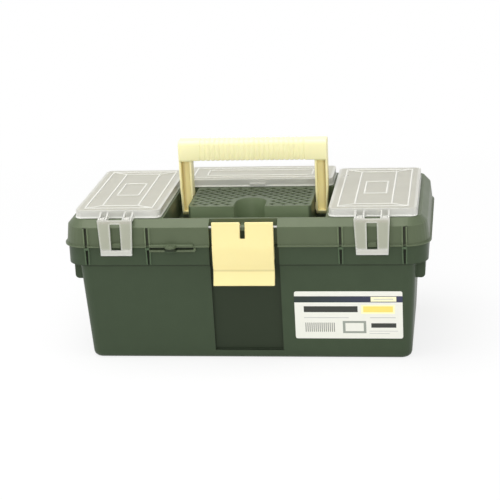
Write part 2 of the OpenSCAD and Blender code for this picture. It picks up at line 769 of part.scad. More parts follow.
// A knuckle on the back of a cover
module cover_knuckle(x, skirt_y) {
    x0 = x - cover_knuckle_w / 2;
    rod_y = skirt_y + cover_rod_back;
    difference() {
        union() {
            bar(x0, x0 + cover_knuckle_w, rod_y, cover_rod_z, cover_knuckle_r);
            block(x0, x0 + cover_knuckle_w, skirt_y - cover_t / 2, rod_y, cover_rod_z - cover_knuckle_r,
                  cover_rod_z + cover_knuckle_r);
        }
        bar(x0 - CUT, x0 + cover_knuckle_w + CUT, rod_y, cover_rod_z, cover_rod_r + run_gap);
    }
}

module cover_shell(x0, x1, y0, y1) {
    difference() {
        union() {
            round_block(x0, x1, y0, y1, cover_z, cover_top, cover_corner_r);
            round_block(x0 - 0.5, x1 + 0.5, y0 - 0.5, y1, cover_z, cover_z + 1.2, cover_corner_r);
        }
        round_block(x0 + cover_t, x1 - cover_t, y0 + cover_t, y1 - cover_t, cover_z - CUT,
                    cover_top - cover_t, cover_corner_r - cover_t);
    }
}

// A frame of raised lines on top of a cover
module line_frame(x0, x1, y0, y1) {
    z0 = cover_top - 0.2;
    z1 = cover_top + cover_line_h;
    difference() {
        block(x0, x1, y0, y1, z0, z1);
        block(x0 + cover_line_w, x1 - cover_line_w, y0 + cover_line_w, y1 - cover_line_w, z0 - CUT, z1 + CUT);
    }
}

// A raised line between two points on top of a cover
module line_between(a, b) {
    run = b - a;
    translate([a[0], a[1], cover_top - 0.2]) rotate([0, 0, atan2(run[1], run[0])])
        translate([0, -cover_line_w / 2, 0]) cube([norm(run), cover_line_w, cover_line_h + 0.2]);
}

module corner_cover() {
    panel_in = 8;
    end_in = 17;
    small_in_x = (cover_frame_in + 7);
    small_in_y = 56;
    knuckles = [corner_cover_x - corner_hinge_dx, corner_cover_x + corner_hinge_dx];
    cover_shell(cover_x0, cover_x1, cover_y0, cover_y1);
    for (x = knuckles) cover_knuckle(x, cover_y1);
    line_frame(cover_x0 + panel_in, cover_x1 - panel_in, cover_y0 + panel_in, cover_y1 - panel_in);
    line_frame(cover_x0 + cover_frame_in, cover_x1 - cover_frame_in, cover_y0 + end_in, cover_y1 - end_in);
    line_frame(cover_x0 + small_in_x, cover_x1 - small_in_x, cover_y0 + small_in_y, cover_y1 - small_in_y);
    for (ends = [[cover_x0, 1], [cover_x1, -1]], sides = [[cover_y0, 1], [cover_y1, -1]])
        line_between([ends[0] + ends[1] * (panel_in + 0.7), sides[0] + sides[1] * (panel_in + 0.7)],
                     [ends[0] + ends[1] * (cover_frame_in + 0.7), sides[0] + sides[1] * (end_in + 0.7)]);
    // lugs and rods that the clasp hangs from
    for (dx = clasp_lug_dx) {
        x0 = corner_cover_x + dx - clasp_lug_t / 2;
        bar(x0, x0 + clasp_lug_t, clasp_rod_y, clasp_rod_z, clasp_lug_r);
        profile(x0, x0 + clasp_lug_t, [
            [cover_y0 + 0.8, cover_z], [clasp_rod_y, clasp_rod_z - clasp_lug_r],
            [clasp_rod_y, clasp_rod_z + clasp_lug_r], [clasp_rod_y + 2.2, clasp_rod_z + clasp_lug_r],
            [cover_y0 + 0.8, cover_top - 1]]);
    }
    for (pair = [[clasp_lug_dx[0], clasp_lug_dx[1]], [clasp_lug_dx[2], clasp_lug_dx[3]]])
        bar(corner_cover_x + pair[0], corner_cover_x + pair[1], clasp_rod_y, clasp_rod_z, clasp_rod_r);
}

module right_cover() color(CLEAR) corner_cover();
module left_cover() color(CLEAR) mirror([1, 0, 0]) corner_cover();

module rear_cover() color(CLEAR) {
    cover_shell(-rear_cover_hw, rear_cover_hw, deck_back, rear_cover_y1);
    for (s = [-1, 1]) cover_knuckle(s * rear_hinge_dx, rear_cover_y1);
    line_frame(-rear_cover_hw + 8, rear_cover_hw - 8, deck_back + 8, rear_cover_y1 - 8);
    line_frame(-rear_cover_hw + 22, rear_cover_hw - 22, deck_back + 16, rear_cover_y1 - 16);
    // lift tab
    block(-cover_tab_w / 2, cover_tab_w / 2, deck_back - 3, deck_back + cover_t / 2, cover_z + 2.2,
          cover_z + 4);
}

// ---------- clasps ----------

module clasp() {
    foot_z = clasp_top - clasp_l;
    window_top = clasp_top - window_side;
    inner = clasp_front + clasp_t;
    difference() {
        union() {
            translate([corner_cover_x, inner, 0]) rotate([90, 0, 0]) linear_extrude(clasp_t) polygon([
                [-clasp_foot_w / 2, foot_z], [clasp_foot_w / 2, foot_z],
                [clasp_top_w / 2, clasp_top], [-clasp_top_w / 2, clasp_top]]);
            // thicker bar along the foot
            block(corner_cover_x - clasp_foot_w / 2, corner_cover_x + clasp_foot_w / 2, clasp_front - 1,
                  inner, foot_z, foot_z + 5.5);
            for (pair = [[clasp_lug_dx[0], clasp_lug_dx[1]], [clasp_lug_dx[2], clasp_lug_dx[3]]]) {
                x0 = corner_cover_x + pair[0] + clasp_lug_t / 2 + knuckle_gap;
                x1 = corner_cover_x + pair[1] - clasp_lug_t / 2 - knuckle_gap;
                bar(x0, x1, clasp_rod_y, clasp_rod_z, clasp_ring_r);
                block(x0, x1, inner - 0.5, clasp_rod_y, clasp_rod_z - clasp_ring_r, clasp_top);
            }
        }
        block(corner_cover_x - window_w / 2, corner_cover_x + window_w / 2, clasp_front - 2 * CUT,
              inner + CUT, window_top - window_l, window_top);
        bar(corner_cover_x - clasp_top_w / 2, corner_cover_x + clasp_top_w / 2, clasp_rod_y, clasp_rod_z,
            clasp_rod_r + run_gap);
    }
}

module right_clasp() color(CLEAR) clasp();
module left_clasp() color(CLEAR) mirror([1, 0, 0]) clasp();

// ---------- latch ----------

module front_latch() color(CREAM) {
    lip_z = latch_foot + latch_lip;
    bulge_z = (latch_z + lip_z) / 2;
    barrel_x0 = web_hw + side_gap;
    barrel_x1 = recess_hw - 5;
    hw = latch_w / 2;
    difference() {
        union() {
            profile(-hw, hw, [
                [latch_face, latch_top], [latch_face - latch_bulge * 0.6, latch_z - 14],
                [latch_face - latch_bulge, bulge_z], [latch_face - latch_bulge * 0.8, lip_z + 8],
                [latch_face - latch_bulge * 0.4, lip_z], [latch_face - latch_flare, latch_foot],
                [latch_face - latch_flare + latch_t * 0.8, latch_foot],
                [latch_face - latch_bulge * 0.4 + latch_t, lip_z],
                [latch_face - latch_bulge * 0.8 + latch_t, lip_z + 8],
                [latch_face - latch_bulge + latch_t, bulge_z],
                [latch_face - latch_bulge * 0.6 + latch_t, latch_z - 14], [latch_face + latch_t, latch_top]]);
            bar(-barrel_x1, barrel_x1, latch_y, latch_z, barrel_r);
            block(-barrel_x1, barrel_x1, latch_face + 1, latch_y, latch_z - barrel_r, latch_z + barrel_r / 2);
            // stiffening side walls
            for (s = [-1, 1])
                profile(s * (hw - leg_wall / 2) - leg_wall / 2, s * (hw - leg_wall / 2) + leg_wall / 2, [
                    [latch_face + 0.5, latch_z + 1], [latch_face - latch_bulge * 0.6 + 0.5, latch_z - 14],
                    [latch_face - latch_bulge + 0.5, bulge_z],
                    [latch_face - latch_bulge * 0.8 + 0.5, lip_z + 8],
                    [band_recess_y - 1, lip_z + 10], [band_recess_y - 1, bulge_z],
                    [latch_y + 2, latch_z - 14], [latch_y + 2, latch_z + 1]]);
            // hook behind the plate, under the catch nose
            block(-catch_hw, catch_hw, latch_face - latch_bulge * 0.8 + 1, -band_hd + 0.2, lip_z - 0.5,
                  neck_z - 0.5);
        }
        block(-notch_w / 2, notch_w / 2, latch_face - 10, latch_y + 10, latch_top - notch_l, latch_top + CUT);
        bar(-hw - CUT, hw + CUT, latch_y, latch_z, latch_pin_r + run_gap);
    }
}

module latch_pin() color(STEEL)
    bar(-recess_hw - latch_pin_grip, recess_hw + latch_pin_grip, latch_y, latch_z, latch_pin_r);

// ---------- handle ----------

module handle_leg() {
    top_z = pivot_z + handle_h - grip_h + 1;
    taper_z0 = pivot_z + 2;
    taper_z1 = pivot_z + 20;
    channel_z = pivot_z - 3;
    foot_x1 = leg_x1 - leg_taper;
    depth = grip_d - 3;
    difference() {
        intersection() {
            // front outline: full width above, drawn in towards the foot on its outer side
            translate([0, pivot_y + depth / 2, 0]) rotate([90, 0, 0]) linear_extrude(depth) polygon([
                [leg_x0, pivot_z - leg_foot_r], [foot_x1, pivot_z - leg_foot_r],
                [foot_x1, taper_z0], [leg_x1, taper_z1], [leg_x1, top_z], [leg_x0, top_z]]);
            // side outline: round at the foot
            union() {
                bar(leg_x0 - CUT, leg_x1 + CUT, pivot_y, pivot_z, leg_foot_r);
                block(leg_x0 - CUT, leg_x1 + CUT, pivot_y - depth / 2, pivot_y + depth / 2, pivot_z, top_z);
            }
        }
        // open channels at the front and back, either side of a middle web
        for (s = [-1, 1]) {
            y0 = s < 0 ? pivot_y - depth / 2 - CUT : pivot_y + leg_wall / 2;
            y1 = s < 0 ? pivot_y - leg_wall / 2 : pivot_y + depth / 2 + CUT;
            translate([0, y1, 0]) rotate([90, 0, 0]) linear_extrude(y1 - y0) polygon([
                [leg_x0 + leg_wall, channel_z], [foot_x1 - leg_wall, channel_z],
                [foot_x1 - leg_wall, taper_z0], [leg_x1 - leg_wall, taper_z1],
                [leg_x1 - leg_wall, top_z - 1], [leg_x0 + leg_wall, top_z - 1]]);
        }
    }
    bar(deck_hw - wall - 0.5, leg_x0 + 1, pivot_y, pivot_z, handle_stud_r);
}

// A length of the grip as it is seen from the end, drawn in all round but at its foot
module grip_length(x0, x1, shrink, foot_z) {
    hd = grip_d / 2 - shrink;
    z1 = pivot_z + handle_h - shrink;
    profile(x0, x1, [
        [pivot_y - hd, foot_z], [pivot_y + hd, foot_z], [pivot_y + hd, z1 - grip_slope],
        [pivot_y + hd - grip_slope, z1], [pivot_y - hd + grip_slope, z1], [pivot_y - hd, z1 - grip_slope]]);
}
grip_slope = 4;

module handle() color(CREAM) {
    grip_z = pivot_z + handle_h - grip_h;
    ribs_from = -handle_w / 2 + grip_plain;
    pitch = -2 * ribs_from / grip_pockets;
    for (s = [-1, 1]) mirror([s < 0 ? 1 : 0, 0, 0]) handle_leg();
    difference() {
        grip_length(-handle_w / 2, handle_w / 2, 0, grip_z);
        // grooves round the front, top and back
        for (i = [0 : grip_pockets]) {
            x0 = ribs_from + i * pitch - grip_groove_w / 2;
            difference() {
                block(x0, x0 + grip_groove_w, pivot_y - grip_d, pivot_y + grip_d, grip_z - CUT,
                      grip_z + grip_h + CUT);
                grip_length(x0 - CUT, x0 + grip_groove_w + CUT, grip_groove_depth, grip_z - 2 * CUT);
            }
        }
        // hollows underneath, between the cross ribs
        for (i = [0 : grip_pockets - 1])
            block(ribs_from + i * pitch + leg_wall / 2, ribs_from + (i + 1) * pitch - leg_wall / 2,
                  pivot_y - grip_d / 2 + leg_wall, pivot_y + grip_d / 2 - leg_wall, grip_z - CUT,
                  grip_z + grip_h - leg_wall * 2);
    }
}

// ---------- hinge pins ----------

module hinge_pin(x) color(STEEL) {
    bar(x - hinge_pin_len / 2, x + hinge_pin_len / 2, hinge_y, hinge_z, hinge_pin_r);
    bar(x - hinge_pin_len / 2, x - hinge_pin_len / 2 + 1.2, hinge_y, hinge_z, hinge_pin_r + 1);
}

module left_hinge_pin() hinge_pin(-hinge_x);
module right_hinge_pin() hinge_pin(hinge_x);

// ---------- tray, arms and links ----------

module tray() color(TRAY_GREEN) {
    y0 = tray_front;
    y1 = tray_front + tray_d;
    r = 6;
    z1 = tray_z + tray_h;
    difference() {
        round_block(-tray_hw, tray_hw, y0, y1, tray_z, z1, r);
        difference() {
            round_block(-tray_hw + tray_t, tray_hw - tray_t, y0 + tray_t, y1 - tray_t, tray_z + tray_t,
                        z1 + CUT, r - tray_t);
            for (i = [1, 2])
                block(-tray_hw + 2 * tray_hw * i / 3 - divider_t / 2,
                      -tray_hw + 2 * tray_hw * i / 3 + divider_t / 2, y0, y1, tray_z, z1 - 4);
            block(-tray_hw, tray_hw, (y0 + y1) / 2 - divider_t / 2, (y0 + y1) / 2 + divider_t / 2, tray_z,
                  z1 - 4);
        }
    }
    for (s = [-1, 1], y = [front_arm_y - arm_l, rear_arm_y - arm_l]) mirror([s < 0 ? 1 : 0, 0, 0]) {
        bar(tray_hw - tray_t / 2, arm_x0 - 0.3, y, arm_z, stud_r + 1.7);
        bar(tray_hw - tray_t / 2, arm_x1 + 0.4, y, arm_z, stud_r);
    }
}

// A flat strap with round ends, in the YZ plane from [0, 0] along a direction, with a hole at each end
module strap(x0, x1, length, width) {
    difference() {
        union() {
            bar(x0, x1, 0, 0, width / 2);
            bar(x0, x1, length, 0, width / 2);
            block(x0, x1, 0, length, -width / 2, width / 2);
        }
        for (y = [0, length]) bar(x0 - CUT, x1 + CUT, y, 0, stud_r + run_gap);
    }
}

module arm(y) color(TRAY_GREEN)
    translate([0, y, arm_z]) rotate([180, 0, 0]) strap(arm_x0, arm_x1, arm_l, arm_w);

module lift_link() color(TRAY_GREEN)
    translate([0, hinge_y - link_y, hinge_z - link_drop]) rotate([link_tilt, 0, 0])
        strap(link_x0, link_x1, link_l, link_w);

module right_front_arm() arm(front_arm_y);
module right_rear_arm() arm(rear_arm_y);
module right_link() lift_link();
module left_front_arm() mirror([1, 0, 0]) arm(front_arm_y);
module left_rear_arm() mirror([1, 0, 0]) arm(rear_arm_y);
module left_link() mirror([1, 0, 0]) lift_link();

// ---------- label ----------

module label() color(PAPER)
    translate([label_x, -base_hd(0), 0]) rotate([label_lean, 0, 0])
        block(-label_w / 2, label_w / 2, -label_t, 0, label_z, label_z + label_h);

base_tub();
lid_shell();
lid_deck();
left_cover();
right_cover();
rear_cover();
left_clasp();
right_clasp();
front_latch();
latch_pin();
handle();
left_hinge_pin();
right_hinge_pin();
tray();
left_front_arm();
left_rear_arm();
right_front_arm();
right_rear_arm();
left_link();
right_link();
label();
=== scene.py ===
"""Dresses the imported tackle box: materials, fine mouldings, label, floor, lights and camera."""
import math

import bmesh
import bpy
from bpy.props import FloatProperty, FloatVectorProperty, IntProperty, PointerProperty
from bpy.types import Operator, Panel, PropertyGroup
from mathutils import Matrix, Vector


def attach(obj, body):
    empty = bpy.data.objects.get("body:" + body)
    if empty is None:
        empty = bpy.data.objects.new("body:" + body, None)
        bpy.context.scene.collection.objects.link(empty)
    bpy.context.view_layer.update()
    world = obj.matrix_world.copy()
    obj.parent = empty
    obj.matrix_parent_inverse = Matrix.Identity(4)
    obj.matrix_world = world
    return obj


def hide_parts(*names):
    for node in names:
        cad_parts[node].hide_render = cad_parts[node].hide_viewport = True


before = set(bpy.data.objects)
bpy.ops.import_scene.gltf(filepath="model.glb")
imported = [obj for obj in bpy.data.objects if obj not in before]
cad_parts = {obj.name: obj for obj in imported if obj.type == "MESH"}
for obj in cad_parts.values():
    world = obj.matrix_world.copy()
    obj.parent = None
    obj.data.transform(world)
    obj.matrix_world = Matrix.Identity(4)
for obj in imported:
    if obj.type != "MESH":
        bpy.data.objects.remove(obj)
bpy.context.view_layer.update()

bl_info = {
    "name": "Tackle box dressing",
    "version": (1, 0, 0),
    "blender": (4, 5, 0),
    "location": "3D View > Sidebar > Tackle box",
    "description": "Finishes a moulded tackle box with its materials and fine detail",
    "category": "Object",
}

MM = 0.001

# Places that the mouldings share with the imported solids, in millimetres
BAND_FOOT = 101
BASE_FOOT_HALF = (161, 83)
BASE_NECK_HALF = (166.5, 91)
BASE_CORNER_R = 11
PANEL_HALF = 34
PANEL_FOOT = 9
SLOT_REACH = (88, 159)
BASE_SLOT_HEIGHTS, BASE_SLOT_DEPTHS = (101.8, 117), (-93.1, -91.6)
BASE_RIB_HEIGHTS, BASE_RIB_FRONT = (102, 119.3), -93.7
LID_SLOT_HEIGHTS, LID_SLOT_DEPTHS = (121.6, 140), (-94.7, -93)
LID_RIB_HEIGHTS, LID_RIB_FRONT = (124.6, 140), -95.2
SEAL_LEFT = -93
SEAL_RIGHT = -48
SEAL_GAP_HEIGHTS, SEAL_GAP_DEPTHS = (117.7, 119.8), (-92, -93)
LID_FOOT = 120
LID_TOP = 146.5
WELL_FLOOR = 122
DECK_HALF = 62
DECK_FRONT = -42.9
DECK_BACK = 32.1
SCOOP_R = 15.5
SCOOP_Y = -26.4
COVER_TOP = 154.6
COVER_FOOT = 146.8
CLASP_FOOT = 113
LATCH_HALF = 30.2
LATCH_NOTCH_HALF = 2.4
LATCH_NOTCH_FOOT = 130
LATCH_CREASE = (96.6, 97.6)
LATCH_PIN_Y = -93
LATCH_PIN_Z = 139.5
PIVOT_Y = 5.1
PIVOT_Z = 133
STUD_R = 4
LEG_INNER = 63.2
LEG_FOOT_OUTER = 75
LEG_FULL_Z = PIVOT_Z + 20
HANDLE_HALF = 76
GRIP_FOOT = 183.7
GRIP_TOP = 204.4

# Depths between which the front wall is told from the rest of the base
FRONT_ONLY = (-70, -75)

# Reach of the covers: from and to either side of the middle, then from front to back
CORNER_COVER = (82.7, 168, -84.4, 74.4)
REAR_COVER = (-9, 78, DECK_BACK, 87)


# ---------- settings ----------

class TackleFinish(PropertyGroup):
    """Colours of the mouldings, as linear red, green and blue."""

    # The base green is about half as bright as the lid green: partly the base's own tone, partly
    # painted shade on its walls
    base: FloatVectorProperty(
        name="Base green", description="Colour of the base", subtype="COLOR",
        size=3, min=0, max=1, default=(0.0395, 0.060, 0.0335))
    lid: FloatVectorProperty(
        name="Lid green", description="Colour of the lid and its deck", subtype="COLOR",
        size=3, min=0, max=1, default=(0.081, 0.106, 0.0585))
    handle: FloatVectorProperty(
        name="Handle cream", description="Colour of the handle", subtype="COLOR",
        size=3, min=0, max=1, default=(1.0, 0.945, 0.545))
    latch: FloatVectorProperty(
        name="Latch cream", description="Colour of the front latch", subtype="COLOR",
        size=3, min=0, max=1, default=(0.86, 0.745, 0.35))
    clear: FloatVectorProperty(
        name="Clear covers", description="Tint of the clear covers and clasps",
        subtype="COLOR", size=3, min=0, max=1, default=(0.64, 0.625, 0.525))
    tray: FloatVectorProperty(
        name="Tray green", description="Colour of the tray and its arms", subtype="COLOR",
        size=3, min=0, max=1, default=(0.11, 0.14, 0.09))


class TackleHandle(PropertyGroup):
    """Sizes of the carrying handle."""

    rib_count: IntProperty(
        name="Ribs", description="Number of ribs along the grip", default=21, min=3)
    rib_span: FloatProperty(
        name="Ribbed length", description="Length of the grip that carries ribs",
        unit="LENGTH", default=0.106)
    rib_depth: FloatProperty(
        name="Rib depth", description="Depth of the grooves between the ribs",
        unit="LENGTH", default=0.0009)
    corner: FloatProperty(
        name="Top rounding", description="Radius of the grip's upper edges",
        unit="LENGTH", default=0.004)


class TackleDeck(PropertyGroup):
    """Sizes of the pitted deck under the handle."""

    pit_pitch: FloatProperty(
        name="Pit pitch", description="Distance between pits along the deck",
        unit="LENGTH", default=0.0113)
    row_pitch: FloatProperty(
        name="Row pitch", description="Distance between rows of pits",
        unit="LENGTH", default=0.0054)
    pit_half: FloatProperty(
        name="Pit half width", description="Half the width of one pit",
        unit="LENGTH", default=0.0043)
    pit_depth: FloatProperty(
        name="Pit depth", description="Depth of one pit", unit="LENGTH", default=0.0022)


class TackleCamera(PropertyGroup):
    """Where the camera stands."""

    turn: FloatProperty(
        name="Turn", description="Angle of the camera to the right of the front",
        subtype="ANGLE", default=math.radians(8.03))
    rise: FloatProperty(
        name="Rise", description="Angle of the camera above the horizon",
        subtype="ANGLE", default=math.radians(17.05))
    roll: FloatProperty(
        name="Roll", description="Roll of the camera about its line of sight",
        subtype="ANGLE", default=math.radians(-2.62))
    distance: FloatProperty(
        name="Distance", description="Distance from the camera to its target",
        unit="LENGTH", default=1.667)
    lens: FloatProperty(
        name="Lens", description="Focal length, on a sensor 36 mm wide", unit="CAMERA",
        default=115.64)
    target: FloatVectorProperty(
        name="Target", description="Point at the middle of the picture", subtype="XYZ",
        size=3, default=(-0.0077, 0.005, 0.0859))


class TackleSettings(PropertyGroup):
    """Everything that a user would change."""

    finish: PointerProperty(type=TackleFinish)
    handle: PointerProperty(type=TackleHandle)
    deck: PointerProperty(type=TackleDeck)
    camera: PointerProperty(type=TackleCamera)


def settings():
    return bpy.context.scene.tackle_box


# ---------- materials ----------

WHITE_EDGE = (0.93, 0.93, 0.88)
OLIVE_GLOSS = (0.97, 1.0, 0.80, 1)
# The next three are painted shade on the handle's legs and in their channels
LEG_SHADE_CREAM = (0.99, 0.89, 0.48)
WEB_SHADE_CREAM = (0.80, 0.64, 0.30)
CHANNEL_SHADOW_BROWN = (0.45, 0.31, 0.10)
# Painted see-through: the green seen behind the clear clasps
GREEN_SEEN_THROUGH_PAINTED = (0.45, 0.52, 0.36)
GREEN_BLACK = (0.012, 0.024, 0.018)
SLATE_BLUE = (0.030, 0.034, 0.085)

# Cosine of the turn at which a paler edge, partly rubbing and partly painted highlight, starts to
# show, and at which it shows in full
EDGE_STARTS, EDGE_FULL = 0.995, 0.86

# Share of light that passes through clear plastic, and through its thick rims and lines
CLEAR_THROUGH, THICK_THROUGH = 0.42, 0.05


class Nodes:
    """Adds nodes to a node tree"""

    def __init__(self, tree):
        self.tree = tree

    def put(self, socket, value):
        if isinstance(value, bpy.types.NodeSocket):
            self.tree.links.new(value, socket)
        else:
            socket.default_value = value

    def node(self, kind, **inputs):
        made = self.tree.nodes.new("ShaderNode" + kind)
        for socket, value in inputs.items():
            self.put(made.inputs[socket.replace("_", " ")], value)
        return made

    def reckon(self, operation, *values, kind="Math"):
        """A number worked out from other numbers, or by VectorMath from vectors"""
        made = self.node(kind)
        made.operation = operation
        for socket, value in zip(made.inputs, values):
            self.put(socket, value)
        return made.outputs["Value"]

    def ramp(self, value, low, high, start=0, end=1):
        """From start to end as a value goes from low to high"""
        return self.node("MapRange", Value=value, From_Min=low, From_Max=high, To_Min=start,
                         To_Max=end).outputs["Result"]

    def seen_directly(self):
        """1 for rays from the camera, off gloss and through clear plastic, else 0"""
        rays = self.node("LightPath").outputs
        seen = rays["Is Camera Ray"]
        for name in ("Is Glossy Ray", "Is Transmission Ray"):
            seen = self.reckon("MAXIMUM", seen, rays[name])
        return seen


class Recipe(Nodes):
    """A material with its shader, to which layers of detail are added"""

    def __init__(self, name, colour, roughness, **sockets):
        self.material = bpy.data.materials.new(name)
        self.material.use_nodes = True
        super().__init__(self.material.node_tree)
        self.shader = self.tree.nodes["Principled BSDF"]
        self.plain = tuple(colour)
        self.colour = (*self.plain, 1)
        self.normal = None
        self.place = self.node("TexCoord").outputs["Object"]
        sockets.update(Base_Color=self.colour, Roughness=roughness)
        for socket, value in sockets.items():
            self.put(self.shader.inputs[socket.replace("_", " ")], value)

    def noise(self, scale, detail=3, stretch=None):
        place = self.place
        if stretch:
            place = self.node("Mapping", Vector=place, Scale=stretch).outputs["Vector"]
        return self.node("TexNoise", Vector=place, Scale=scale, Detail=detail).outputs["Fac"]

    def mix(self, amount, colour):
        """Blend another colour over what the surface has so far"""
        made = self.node("Mix")
        made.data_type = "RGBA"
        self.put(made.inputs["Factor"], amount)
        self.put(made.inputs[6], self.colour)
        self.put(made.inputs[7], (*colour, 1))
        self.colour = made.outputs[2]
        self.put(self.shader.inputs["Base Color"], self.colour)

    def shaded(self, amount, factor):
        """Blend in the plain colour, made lighter or darker"""
        self.mix(amount, [min(1, c * factor) for c in self.plain])

    def between(self, axis, low, high, mirrored=False):
        """From 0 to 1 as a place along an axis of the object goes from low to high, in mm"""
        place = self.node("SeparateXYZ", Vector=self.place).outputs[axis]
        if mirrored:
            place = self.reckon("ABSOLUTE", place)
        return self.ramp(place, low * MM, high * MM)

    def within(self, axis, low, high, soft=0.5, mirrored=False):
        """1 between two places along an axis, falling to 0 just outside them"""
        return self.product(self.between(axis, low - soft, low, mirrored),
                            self.between(axis, high + soft, high, mirrored))

    def product(self, first, *others):
        for other in others:
            first = self.reckon("MULTIPLY", first, other)
        return first

    def inverse(self, value):
        return self.reckon("SUBTRACT", 1, value)

    def clouds(self, scale, amount, shade):
        """Uneven colour, as in a coloured moulding"""
        self.shaded(self.product(self.ramp(self.noise(scale), 0.35, 0.7), amount), shade)

    def soft_normal(self, radius):
        made = self.node("Bevel", Radius=radius)
        made.samples = 4
        return made.outputs["Normal"]

    def rounded(self, radius):
        """Edges that catch the light as if they were rounded"""
        self.normal = self.soft_normal(radius)
        self.put(self.shader.inputs["Normal"], self.normal)

    def edges(self, radius, colour, amount):
        """Paler edges: painted highlight where edges catch the light, together with rubbing on the
        coloured mouldings and thick plastic on the clear ones
        """
        flat = self.node("NewGeometry").outputs["Normal"]
        turn = self.reckon("DOT_PRODUCT", self.soft_normal(radius), flat, kind="VectorMath")
        self.mix(self.product(self.ramp(turn, EDGE_STARTS, EDGE_FULL), amount), colour)

    def bumps(self, *layers):
        """Waviness and grain: each layer's scale, height in metres, strength and stretch"""
        for scale, height, strength, stretch in layers:
            made = self.node("Bump", Height=self.noise(scale, 2, stretch), Strength=strength,
                             Distance=height)
            if self.normal:
                self.put(made.inputs["Normal"], self.normal)
            self.normal = made.outputs["Normal"]
        self.put(self.shader.inputs["Normal"], self.normal)

    def sheen_marks(self, scale, low, high, stretch=None):
        """Roughness that wanders between two values"""
        self.put(self.shader.inputs["Roughness"],
                 self.ramp(self.noise(scale, 2, stretch), 0, 1, low, high))


def green_moulding(name, green, specular=0.45):
    made = Recipe(name, green, 0.42, Specular_IOR_Level=specular, Specular_Tint=OLIVE_GLOSS)
    made.clouds(7, 0.6, 1.16)
    made.clouds(60, 0.35, 0.88)
    made.rounded(0.0009)
    # paler edges: partly rubbing, partly painted highlight where they catch the light
    made.edges(0.0012, [c * 1.9 + 0.01 for c in green], 0.55)
    made.bumps((30, 0.0006, 0.10, None), (1500, 0.00006, 0.22, None))
    made.sheen_marks(45, 0.36, 0.50)
    return made


def paint_slot_shade_and_rib_light(made, slot_heights, slot_depths, rib_heights, rib_front, pale):
    """Darken the slots near both ends of a front wall with painted shade, and pale the ribs beside
    them with painted highlight
    """
    ends = made.within("X", *SLOT_REACH, 0.3, True)
    # painted shade in the slots
    made.shaded(made.product(ends, made.within("Z", *slot_heights, 0.4),
                             made.within("Y", *slot_depths, 0.2), 0.92), 0.12)
    # painted highlight on the ribs, lightened by the factor pale
    made.shaded(made.product(ends, made.within("Z", *rib_heights, 0.4),
                             made.between("Y", rib_front, rib_front - 0.3)), pale)


def base_moulding():
    """The base's green, with painted shade in the sunk panel and the slots, under the band and
    under the seal, and painted highlight on the ribs by the slots
    """
    made = green_moulding("base_green", settings().finish.base, 0.26)
    panel = made.product(made.within("X", -PANEL_HALF, PANEL_HALF, 1),
                         made.between("Z", PANEL_FOOT - 1, PANEL_FOOT),
                         made.between("Y", *FRONT_ONLY))
    # painted shade in the sunk panel
    made.shaded(made.product(panel, 0.9), 0.45)
    paint_slot_shade_and_rib_light(made, BASE_SLOT_HEIGHTS, BASE_SLOT_DEPTHS, BASE_RIB_HEIGHTS, BASE_RIB_FRONT, 1.9)
    # painted shade along the wall just under the band
    made.shaded(made.product(made.within("Z", BAND_FOOT - 1.4, BAND_FOOT + 0.3), 0.6), 0.4)
    seal_gap_shade = made.product(made.within("X", SEAL_LEFT, SEAL_RIGHT),
                            made.within("Z", *SEAL_GAP_HEIGHTS, 0.2),
                            made.between("Y", *SEAL_GAP_DEPTHS))
    # painted shade in the gap between the seal ledges
    made.shaded(seal_gap_shade, 0.45)
    return made.material


def lid_moulding():
    """The lid's green, with painted shade in the slots and painted highlight on the ribs beside
    them
    """
    made = green_moulding("lid_green", settings().finish.lid)
    paint_slot_shade_and_rib_light(made, LID_SLOT_HEIGHTS, LID_SLOT_DEPTHS, LID_RIB_HEIGHTS, LID_RIB_FRONT, 1.55)
    return made.material


def deck_moulding():
    """The deck's green, with painted shade in its pits, a slight painted highlight on its top
    between them, and painted light in the scoop and on its front wall
    """
    made = green_moulding("deck_green", settings().finish.lid)
    scoop = made.product(made.within("X", -SCOOP_R - 1, SCOOP_R + 1),
                         made.between("Y", SCOOP_Y + SCOOP_R + 2, SCOOP_Y + SCOOP_R + 1))
    field = made.product(made.within("X", -DECK_HALF + 3, DECK_HALF - 3),
                         made.within("Y", DECK_FRONT + 3, DECK_BACK - 2), made.inverse(scoop))
    above_hollow = made.between("Z", LID_TOP - 2.45, LID_TOP - 2.35)
    pits = made.product(field, made.between("Z", LID_TOP - 0.3, LID_TOP - 1.5), above_hollow)
    # painted shade in the pits
    made.shaded(pits, 0.14)
    # painted highlight on the top between the pits
    made.shaded(made.product(field, made.between("Z", LID_TOP - 0.3, LID_TOP - 0.1)), 1.06)
    below = made.between("Z", LID_TOP - 0.3, LID_TOP - 1)
    # painted light in the scoop
    made.shaded(made.product(scoop, below), 1.75)
    front_wall = made.between("Y", DECK_FRONT + 0.6, DECK_FRONT + 0.2)
    # painted light on the deck's front wall
    made.shaded(made.product(front_wall, below), 1.85)
    return made.material


def cream_moulding(name, cream):
    made = Recipe(name, cream, 0.38, Specular_IOR_Level=0.45, Subsurface_Weight=0.10,
                  Subsurface_Radius=(0.004, 0.003, 0.0015))
    made.clouds(11, 0.5, 0.94)
    made.rounded(0.0006)
    # paler edges: partly rubbing, partly painted highlight where they catch the light
    made.edges(0.0009, [min(1, c * 1.10 + 0.03) for c in cream], 0.5)
    made.bumps((28, 0.0005, 0.10, None), (1600, 0.00005, 0.15, None))
    made.sheen_marks(50, 0.32, 0.46)
    return made


def latch_moulding():
    """The latch's cream, with painted shade in the crease above its lip"""
    made = cream_moulding("latch_cream", settings().finish.latch)
    # painted shade in the crease above the lip
    made.shaded(made.product(made.within("Z", *LATCH_CREASE, 0.9), 0.6), 0.72)
    return made.material


